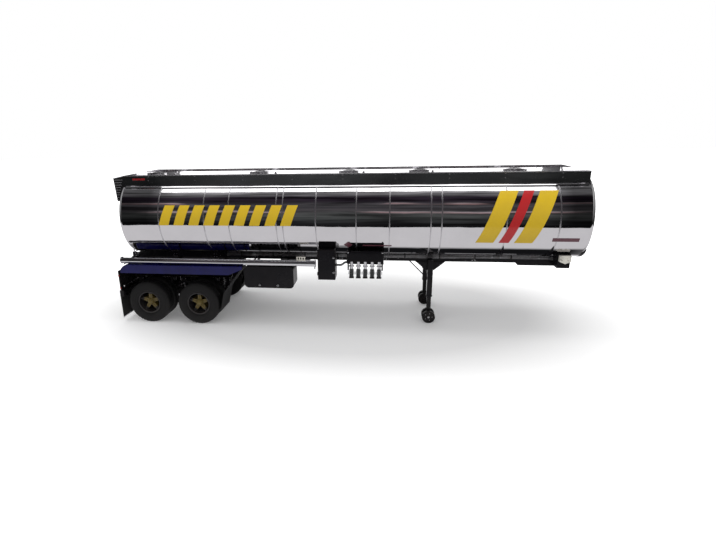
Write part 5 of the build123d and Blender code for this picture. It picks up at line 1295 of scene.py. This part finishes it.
def make_tube_fittings():
    """The tube's end collars, bands and drain, the bracket over it, and the cap's loop."""
    bm = bmesh.new()
    at = Vector((0, TUBE_Y, TUBE_Z))
    add_ring(bm, at + X * (TUBE_LOW.x + 0.020), X, TUBE_R + 0.0002, (0.030, 0.008), 48)
    add_ring(bm, at + X * (TUBE_HIGH.x - 0.014), X, TUBE_R + 0.0002, (0.026, 0.010), 48)
    for x in (-4.10, -2.85, -1.55):
        add_ring(bm, at + X * x, X, TUBE_R + 0.0002, (0.030, 0.003), 48)
    drain = TUBE_HIGH.x - 0.030
    add_tube(bm, [(drain, TUBE_Y, TUBE_Z - TUBE_R + 0.002), (drain, TUBE_Y, 1.405)], 0.011, 12)
    add_ring(bm, (drain, TUBE_Y, 1.412), Z, 0.011, (0.018, 0.005), 20)
    add_box(bm, (drain - 0.022, TUBE_Y - 0.005, 1.425), (drain + 0.022, TUBE_Y + 0.005, 1.437), 0.002)
    make_piece("tube_fittings", bm, "tube_chrome")

    bm = bmesh.new()
    base = TUBE_Z + TUBE_R
    add_box(bm, (-0.985, TUBE_Y - 0.028, base - 0.001), (-0.775, TUBE_Y + 0.028, base + 0.012), 0.003)
    for k in range(4):
        x = -0.970 + 0.056 * k
        add_box(bm, (x - 0.010, TUBE_Y - 0.022, base + 0.008),
                (x + 0.010, TUBE_Y + 0.022, base + 0.075), 0.004)
    add_box(bm, (-0.985, TUBE_Y - 0.012, base + 0.066), (-0.775, TUBE_Y + 0.012, base + 0.080), 0.003)
    make_piece("tube_bracket", bm, "box_enamel")

    bm = bmesh.new()
    add_box(bm, (-5.2445, TUBE_Y - 0.008, TUBE_Z - 0.045), (-5.2385, TUBE_Y + 0.008, TUBE_Z - 0.012), 0.002)
    loop = [(-5.2385, TUBE_Y - 0.022, TUBE_Z), (-5.252, TUBE_Y - 0.022, TUBE_Z),
            (-5.252, TUBE_Y + 0.022, TUBE_Z), (-5.2385, TUBE_Y + 0.022, TUBE_Z)]
    add_tube(bm, bent(loop, 0.006), 0.004, 8)
    make_piece("cap_fittings", bm, "zinc_steel", "hose_tube_cap")


def make_cabinet_fittings():
    """Latches, the cabinet door's bead, its side marker, and the vapour pipe."""
    bm = bmesh.new()
    for z in (1.34, 1.68):
        add_tee_latch(bm, (-0.140, DOOR_Y + 0.0002, z), -Y)
    make_piece("cabinet_latches", bm, "zinc_steel", "valve_cabinet_door")

    bm = bmesh.new()
    add_tube(bm, [(-0.482, DOOR_Y, 1.182), (-0.122, DOOR_Y, 1.182), (-0.122, DOOR_Y, 1.838),
                  (-0.482, DOOR_Y, 1.838), (-0.482, DOOR_Y, 1.182)], 0.004, 8)
    make_piece("cabinet_door_bead", bm, "frame_enamel", "valve_cabinet_door")

    bm = bmesh.new()
    add_turned(bm, [(0, 0.011), (0.018, 0.011), (0.020, 0.016), (0.034, 0.016), (0.040, 0.010),
                    (0.042, 0)], (-0.500, -1.090, 1.810), -X, 20)
    make_piece("cabinet_marker", bm, "bright_trim")

    bm = bmesh.new()
    add_tube(bm, bent([(-0.106, PIPE_Y, 1.47), (0.02, PIPE_Y, 1.47), (0.10, PIPE_Y, 1.535),
                       (0.160, PIPE_Y, 1.545)], 0.03), 0.024, 14)
    for x, z in ((-0.092, 1.47), (0.146, 1.545)):
        add_ring(bm, (x, PIPE_Y, z), X, 0.024, (0.014, 0.014), 24)
    make_piece("vapour_pipe", bm, "tank_enamel")

    bm = bmesh.new()
    for x in (-1.863, -1.436):
        add_tee_latch(bm, (x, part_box("locker_door")[0].y - 0.0001, 1.005), -Y)
    make_piece("locker_latches", bm, "zinc_steel", "locker_door")


class TANKTRAILER_OT_cabinets(bpy.types.Operator):
    """Make the fittings of the hose tube, its cap, the locker and the valve cabinet"""
    bl_idname = "tanktrailer.cabinets"
    bl_label = "Tube and cabinet fittings"

    def execute(self, context):
        make_tube_fittings()
        make_cabinet_fittings()
        return {"FINISHED"}


# ------------------------------------------------------------------ valves and connections
def make_valve_fittings():
    """Flange bolts, neck rings and cam levers of the adapters, and knobs on the guard's posts."""
    down = Vector((0, -sin(VALVE_LEAN), -cos(VALVE_LEAN)))
    bm = bmesh.new()
    for k in range(VALVES):
        x = VALVE_X + VALVE_PITCH * k
        for j in range(8):
            turn = tau * (j + 0.5) / 8
            add_bolt(bm, (x + 0.0475 * cos(turn), VALVE_Y + 0.0475 * sin(turn), 1.4802), Z, 0.012)
        mouth = Vector((x, VALVE_Y, 1.40))
        for along in (0.030, 0.092):
            add_ring(bm, mouth + down * along, down, 0.0498, (0.010, 0.0045), 32)
        for side in SIDES.values():
            pivot = mouth + down * 0.060 + X * side * 0.052
            add_tube(bm, bent([pivot, pivot + X * side * 0.010 - down * 0.004,
                               pivot + X * side * 0.012 + down * 0.058], 0.006), 0.0048, 8)
            add_ring(bm, pivot + X * side * 0.012 + down * 0.060, X, 0.004, (0.004, 0.006), 16)
    for x in (0.185, 0.935):
        add_turned(bm, [(0, 0.016), (0.004, 0.020), (0.012, 0.022), (0.020, 0.020), (0.026, 0.013),
                        (0.0285, 0)], (x, -1.128, 1.7915), Z, 20)
    make_piece("valve_fittings", bm, "tube_chrome")


def make_connection_fittings():
    """Seals on the two air couplings, and the connection box's bolts."""
    low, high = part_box("gladhand_box")
    x = (low.x + high.x) / 2
    bm = bmesh.new()
    for dx in (-0.06, 0.06):
        add_ring(bm, (x + dx, -0.953, 1.66), Y, 0.012, (0.006, 0.012), 24)
    make_piece("coupling_seals", bm, "gasket_rubber")

    bm = bmesh.new()
    for dx in (-0.098, 0.098):
        for z in (1.72, 1.66):
            add_bolt(bm, (x + dx, -0.9502, z), -Y, 0.014)
    make_piece("connection_bolts", bm, "zinc_steel")


class TANKTRAILER_OT_valves(bpy.types.Operator):
    """Make the fittings of the loading adapters, guard posts and connection box"""
    bl_idname = "tanktrailer.valves"
    bl_label = "Valve fittings"

    def execute(self, context):
        make_valve_fittings()
        make_connection_fittings()
        return {"FINISHED"}


# ------------------------------------------------------------------ stage
HALL_X = -0.40                  # middle of the strips along the trailer
STRIP_LENGTH = 14.8
STRIP_REACH = 8.0               # from the barrel's axis to the strips
VAULT = (   # the vault's glow by angle, painted reflections that the polish sees: 0 is level on the right, 90 is overhead
    (-80, (0.010, 0.010, 0.010)), (-15, (0.009, 0.009, 0.010)),
    (-9, (0.022, 0.023, 0.024)), (-3, (0.036, 0.038, 0.039)), (3, (0.060, 0.064, 0.063)),
    (15, (0.066, 0.068, 0.068)), (19, (0.078, 0.074, 0.078)), (25, (0.050, 0.046, 0.050)),
    (30, (0.036, 0.034, 0.038)), (36, (0.105, 0.100, 0.108)), (40, (0.085, 0.080, 0.088)),
    (44, (0.034, 0.030, 0.036)), (49, (0.024, 0.018, 0.026)), (60, (0.024, 0.018, 0.027)),
    (66, (0.15, 0.145, 0.155)), (72, (0.27, 0.265, 0.275)), (88, (0.32, 0.32, 0.33)),
    (95, (0.46, 0.46, 0.47)), (101, (0.14, 0.138, 0.145)), (130, (0.15, 0.15, 0.155)),
    (143, (0.10, 0.098, 0.105)), (163, (0.085, 0.083, 0.088)), (166.5, (0.11, 0.11, 0.115)),
    (169, (0.95, 0.95, 0.95)), (181, (0.95, 0.95, 0.95)), (184, (0.20, 0.20, 0.20)),
    (230, (0.02, 0.02, 0.02)))
PAINTED_GLINTS = (  # painted glints: narrow warm gleams glowing on the vault, that come and go along it
    (15.0, (0, 0, 0)), (17.5, (0.30, 0.17, 0.18)), (19.0, (0.30, 0.26, 0.27)), (20.5, (0, 0, 0)),
    (38.5, (0, 0, 0)), (41.0, (0.36, 0.20, 0.20)), (43.0, (0.32, 0.27, 0.28)), (45.0, (0, 0, 0)))
STRIPS = (("strip_near", 82.5, 1.9), ("strip_far", 115.5, 1.9))    # name, angle, width
CAMERA_PLACE = (0.962, -10.674, 4.426)
CAMERA_TURN = (-0.141, 0.291, -0.024)   # yaw, pitch and roll


def studio():
    return bpy.context.scene.tanktrailer_studio


def glow_only_cloth(name):
    """A finish that shows only its own glow, for the painted reflections that the polish sees."""
    cloth = Finish(name, roughness=1.0, emission_strength=1.0)
    cloth.shader.inputs["Base Color"].default_value = (0, 0, 0, 1)
    cloth.shader.inputs["Specular IOR Level"].default_value = 0.0
    return cloth


def link_object(name, bm, finish):
    """Turn the faces into a piece of the stage."""
    mesh = bpy.data.meshes.new(name)
    bm.to_mesh(mesh)
    bm.free()
    made = bpy.data.objects.new(name, mesh)
    bpy.context.scene.collection.objects.link(made)
    mesh.materials.append(finish)
    return made


def seen_only_in_polish(thing):
    """Hide a piece of the stage from all but mirrored rays."""
    thing.visible_camera = False
    thing.visible_diffuse = False
    thing.visible_shadow = False
    thing.visible_transmission = False


def flat_sheet(name, half_x, half_y, z, finish):
    """A level sheet of the stage, centred on the trailer."""
    bm = bmesh.new()
    bm.faces.new([bm.verts.new((x, y, z)) for x, y in ((-half_x, -half_y), (half_x, -half_y),
                                                       (half_x, half_y), (-half_x, half_y))])
    return link_object(name, bm, finish)


def make_world():
    """Soft light from all round: plain white where it is seen, less where it only lights."""
    world = bpy.data.worlds.new("studio")
    bpy.context.scene.world = world
    world.use_nodes = True
    tree = world.node_tree
    path = put(tree, "ShaderNodeLightPath").outputs
    seen = maths(tree, "MAXIMUM", path["Is Camera Ray"],
                 maths(tree, "MAXIMUM", path["Is Glossy Ray"], path["Is Transmission Ray"]))
    background = tree.nodes["Background"]
    background.inputs["Color"].default_value = (1, 1, 1, 1)
    tree.links.new(remap(tree, seen, 0.0, 1.0, studio().sky, 1.0), background.inputs["Strength"])


def make_floor():
    """Pale paper floor that keeps the shadow; for the camera it glows, faintly round the trailer and fully
    white further out, painted light that fades it into the white all round.
    """
    paper = Finish("floor_paper", roughness=0.9)
    tree = paper.tree
    cloud = paper.patches(0.8, 1.2)
    paper.set("Base Color", paper.mix(cloud, (0.87, 0.87, 0.875), (0.89, 0.89, 0.895)))
    spot = put(tree, "ShaderNodeVectorMath", {0: place_of(tree, (0.55, 1.0, 1.0))}, operation="LENGTH")
    # the camera-only glow grows away from the trailer: painted light on the floor
    far_glow = remap(tree, spot.outputs["Value"], 2.4, 6.0, 0.10, 1.0)
    seen = put(tree, "ShaderNodeLightPath").outputs["Is Camera Ray"]
    paper.shader.inputs["Emission Color"].default_value = (1, 1, 1, 1)
    tree.links.new(maths(tree, "MULTIPLY", far_glow, seen), paper.shader.inputs["Emission Strength"])
    flat_sheet("floor", 70, 70, 0.0, paper.material).visible_glossy = False


def make_table():
    """The pale floor as the polish sees it: a glowing sheet that paints the floor's reflection, with a
    painted shadow under the trailer.
    """
    cloth = glow_only_cloth("table_cloth")
    tree = cloth.tree
    parts = put(tree, "ShaderNodeSeparateXYZ", {0: place_of(tree)}).outputs
    # near black under the trailer, pale glow elsewhere: a painted shadow in a painted reflection of the
    # floor
    off = maths(tree, "ABSOLUTE", parts["Y"])
    lit = remap(tree, off, 0.60, 0.95)
    ends = remap(tree, maths(tree, "ABSOLUTE", parts["X"]), 7.5, 5.6)
    lit = maths(tree, "MAXIMUM", lit, maths(tree, "SUBTRACT", 1.0, ends))
    cloth.set("Emission Color", cloth.mix(lit, (0.007, 0.007, 0.008), (0.61, 0.60, 0.615)))
    seen_only_in_polish(flat_sheet("floor_in_polish", studio().room_radius + 3.0,
                                   studio().table_half, -0.002, cloth.material))


def vault_ramp(tree, share, table):
    """Colours by angle, from a table of (degrees, colour)."""
    ramp = put(tree, "ShaderNodeValToRGB", {0: share})
    stops = ramp.color_ramp.elements
    for k, (angle, tone) in enumerate(table):
        stop = stops[k] if k < 2 else stops.new((angle + 90) / 360)
        stop.position = (angle + 90) / 360
        stop.color = (*tone, 1)
    return ramp.outputs["Color"]


def make_vault():
    """A vault all round the trailer that glows with painted reflections, dark with bright bands and warm
    glints, which only the polish sees.
    """
    radius, half = studio().room_radius, studio().room_radius + 4.0
    steps = 96
    bm = bmesh.new()
    rings = []
    for x in (-half, half):
        rings.append([bm.verts.new((x, radius * cos(turn), BARREL_Z + radius * sin(turn)))
                      for turn in (tau * k / steps for k in range(steps))])
    join_rings(bm, *rings)
    for ring in rings:
        bm.faces.new(ring)
    cloth = glow_only_cloth("vault_cloth")
    tree = cloth.tree
    parts = put(tree, "ShaderNodeSeparateXYZ", {0: place_of(tree)}).outputs
    turn = maths(tree, "ARCTAN2", maths(tree, "SUBTRACT", parts["Z"], BARREL_Z),
                 maths(tree, "MULTIPLY", parts["Y"], -1.0))
    share = maths(tree, "FRACT", maths(tree, "ADD", maths(tree, "MULTIPLY", turn, 1 / tau), 0.25))
    shades = vault_ramp(tree, share, VAULT)
    painted_gleams = vault_ramp(tree, share, PAINTED_GLINTS)
    # painted glints, glowing in patches along the vault
    here = remap(tree, noise(tree, place_of(tree, (0.16, 0.10, 0.10)), 1.0, 2.0), 0.50, 0.60)
    drift = remap(tree, noise(tree, place_of(tree, (0.22, 0.55, 0.55)), 1.0, 3.0), 0.36, 0.62, 0.30, 1.25)
    lit = blend(tree, here, blend(tree, 1.0, shades, drift, "MULTIPLY"), painted_gleams, "ADD")
    # darker towards the vault's ends along the trailer: painted shade at the barrel's ends
    off = maths(tree, "ABSOLUTE", maths(tree, "ADD", parts["X"], 0.75))
    painted_end_shade = remap(tree, off, 8.8, 10.2, 1.0, 0.26)
    sides = blend(tree, 1.0, lit, painted_end_shade, "MULTIPLY")
    # the end caps glow brighter with height: a painted gradient
    ends = maths(tree, "GREATER_THAN", maths(tree, "ABSOLUTE", parts["X"]), half - 0.05)
    end_cap_glow = remap(tree, parts["Z"], BARREL_Z - 2.0, BARREL_Z + 9.0, 0.015, 0.42)
    cloth.set("Emission Color", cloth.mix(ends, sides, end_cap_glow))
    seen_only_in_polish(link_object("reflection_glow_vault", bm, cloth.material))


def make_strips():
    """Two long soft strips over the trailer, aimed at the barrel's axis."""
    for name, angle, width in STRIPS:
        data = bpy.data.lights.new(name, "AREA")
        data.shape = "RECTANGLE"
        data.size = STRIP_LENGTH
        data.size_y = width
        data.energy = studio().strip * pi * data.size * width
        lamp = bpy.data.objects.new(name, data)
        turn = radians(angle)
        lamp.location = (HALL_X, -STRIP_REACH * cos(turn), BARREL_Z + STRIP_REACH * sin(turn))
        aim = Vector((HALL_X, 0, BARREL_Z)) - lamp.location
        lamp.rotation_euler = aim.to_track_quat("-Z", "Y").to_euler()
        bpy.context.scene.collection.objects.link(lamp)


def make_camera():
    """The camera, a little above the deck and ahead of the trailer's middle."""
    data = bpy.data.cameras.new("camera")
    data.lens = studio().lens
    data.sensor_width = 36.0
    data.shift_x = 0.0497
    data.shift_y = -0.0089
    camera = bpy.data.objects.new("camera", data)
    yaw, pitch, roll = CAMERA_TURN
    ahead = Vector((sin(yaw) * cos(pitch), cos(yaw) * cos(pitch), -sin(pitch)))
    level = Vector((cos(yaw), -sin(yaw), 0))
    up = level.cross(ahead)
    right = level * cos(roll) + up * sin(roll)
    up = right.cross(ahead)
    x, y, z = CAMERA_PLACE
    camera.matrix_world = Matrix(((right.x, up.x, -ahead.x, x), (right.y, up.y, -ahead.y, y),
                                  (right.z, up.z, -ahead.z, z), (0, 0, 0, 1)))
    bpy.context.scene.collection.objects.link(camera)
    bpy.context.scene.camera = camera


class TANKTRAILER_OT_studio(bpy.types.Operator):
    """Build the floor, the glowing table and vault that paint the polish's reflections, the strip lights
    and the camera
    """
    bl_idname = "tanktrailer.studio"
    bl_label = "Studio"

    def execute(self, context):
        for make in (make_world, make_floor, make_table, make_vault, make_strips, make_camera):
            make()
        return {"FINISHED"}


# ------------------------------------------------------------------ the add-on
SETTINGS = {"tanktrailer_colours": TankTrailerColours, "tanktrailer_sizes": TankTrailerSizes,
            "tanktrailer_studio": TankTrailerStudio}
OPERATORS = (TANKTRAILER_OT_finishes, TANKTRAILER_OT_tyres, TANKTRAILER_OT_wheel_fittings,
             TANKTRAILER_OT_markings, TANKTRAILER_OT_deck, TANKTRAILER_OT_frame, TANKTRAILER_OT_suspension,
             TANKTRAILER_OT_landing, TANKTRAILER_OT_tail, TANKTRAILER_OT_cabinets, TANKTRAILER_OT_valves,
             TANKTRAILER_OT_studio)


class TANKTRAILER_PT_panel(bpy.types.Panel):
    """The trailer's pieces and stage, in the order they are made"""
    bl_idname = "TANKTRAILER_PT_panel"
    bl_label = "Tank Trailer"
    bl_space_type = "VIEW_3D"
    bl_region_type = "UI"
    bl_category = "Tank Trailer"

    def draw(self, context):
        for operator in OPERATORS:
            self.layout.operator(operator.bl_idname)
        for name, group in SETTINGS.items():
            box = self.layout.box()
            for setting in group.__annotations__:
                box.prop(getattr(context.scene, name), setting)


CLASSES = (*SETTINGS.values(), *OPERATORS, TANKTRAILER_PT_panel)


def register():
    for cls in CLASSES:
        bpy.utils.register_class(cls)
    for name, group in SETTINGS.items():
        setattr(bpy.types.Scene, name, PointerProperty(type=group))


def unregister():
    for name in SETTINGS:
        delattr(bpy.types.Scene, name)
    for cls in reversed(CLASSES):
        bpy.utils.unregister_class(cls)


def main():
    register()
    bpy.context.scene.view_settings.view_transform = "Standard"
    for operator in OPERATORS:
        getattr(bpy.ops.tanktrailer, operator.bl_idname.split(".")[1])()


if __name__ == "__main__":
    main()
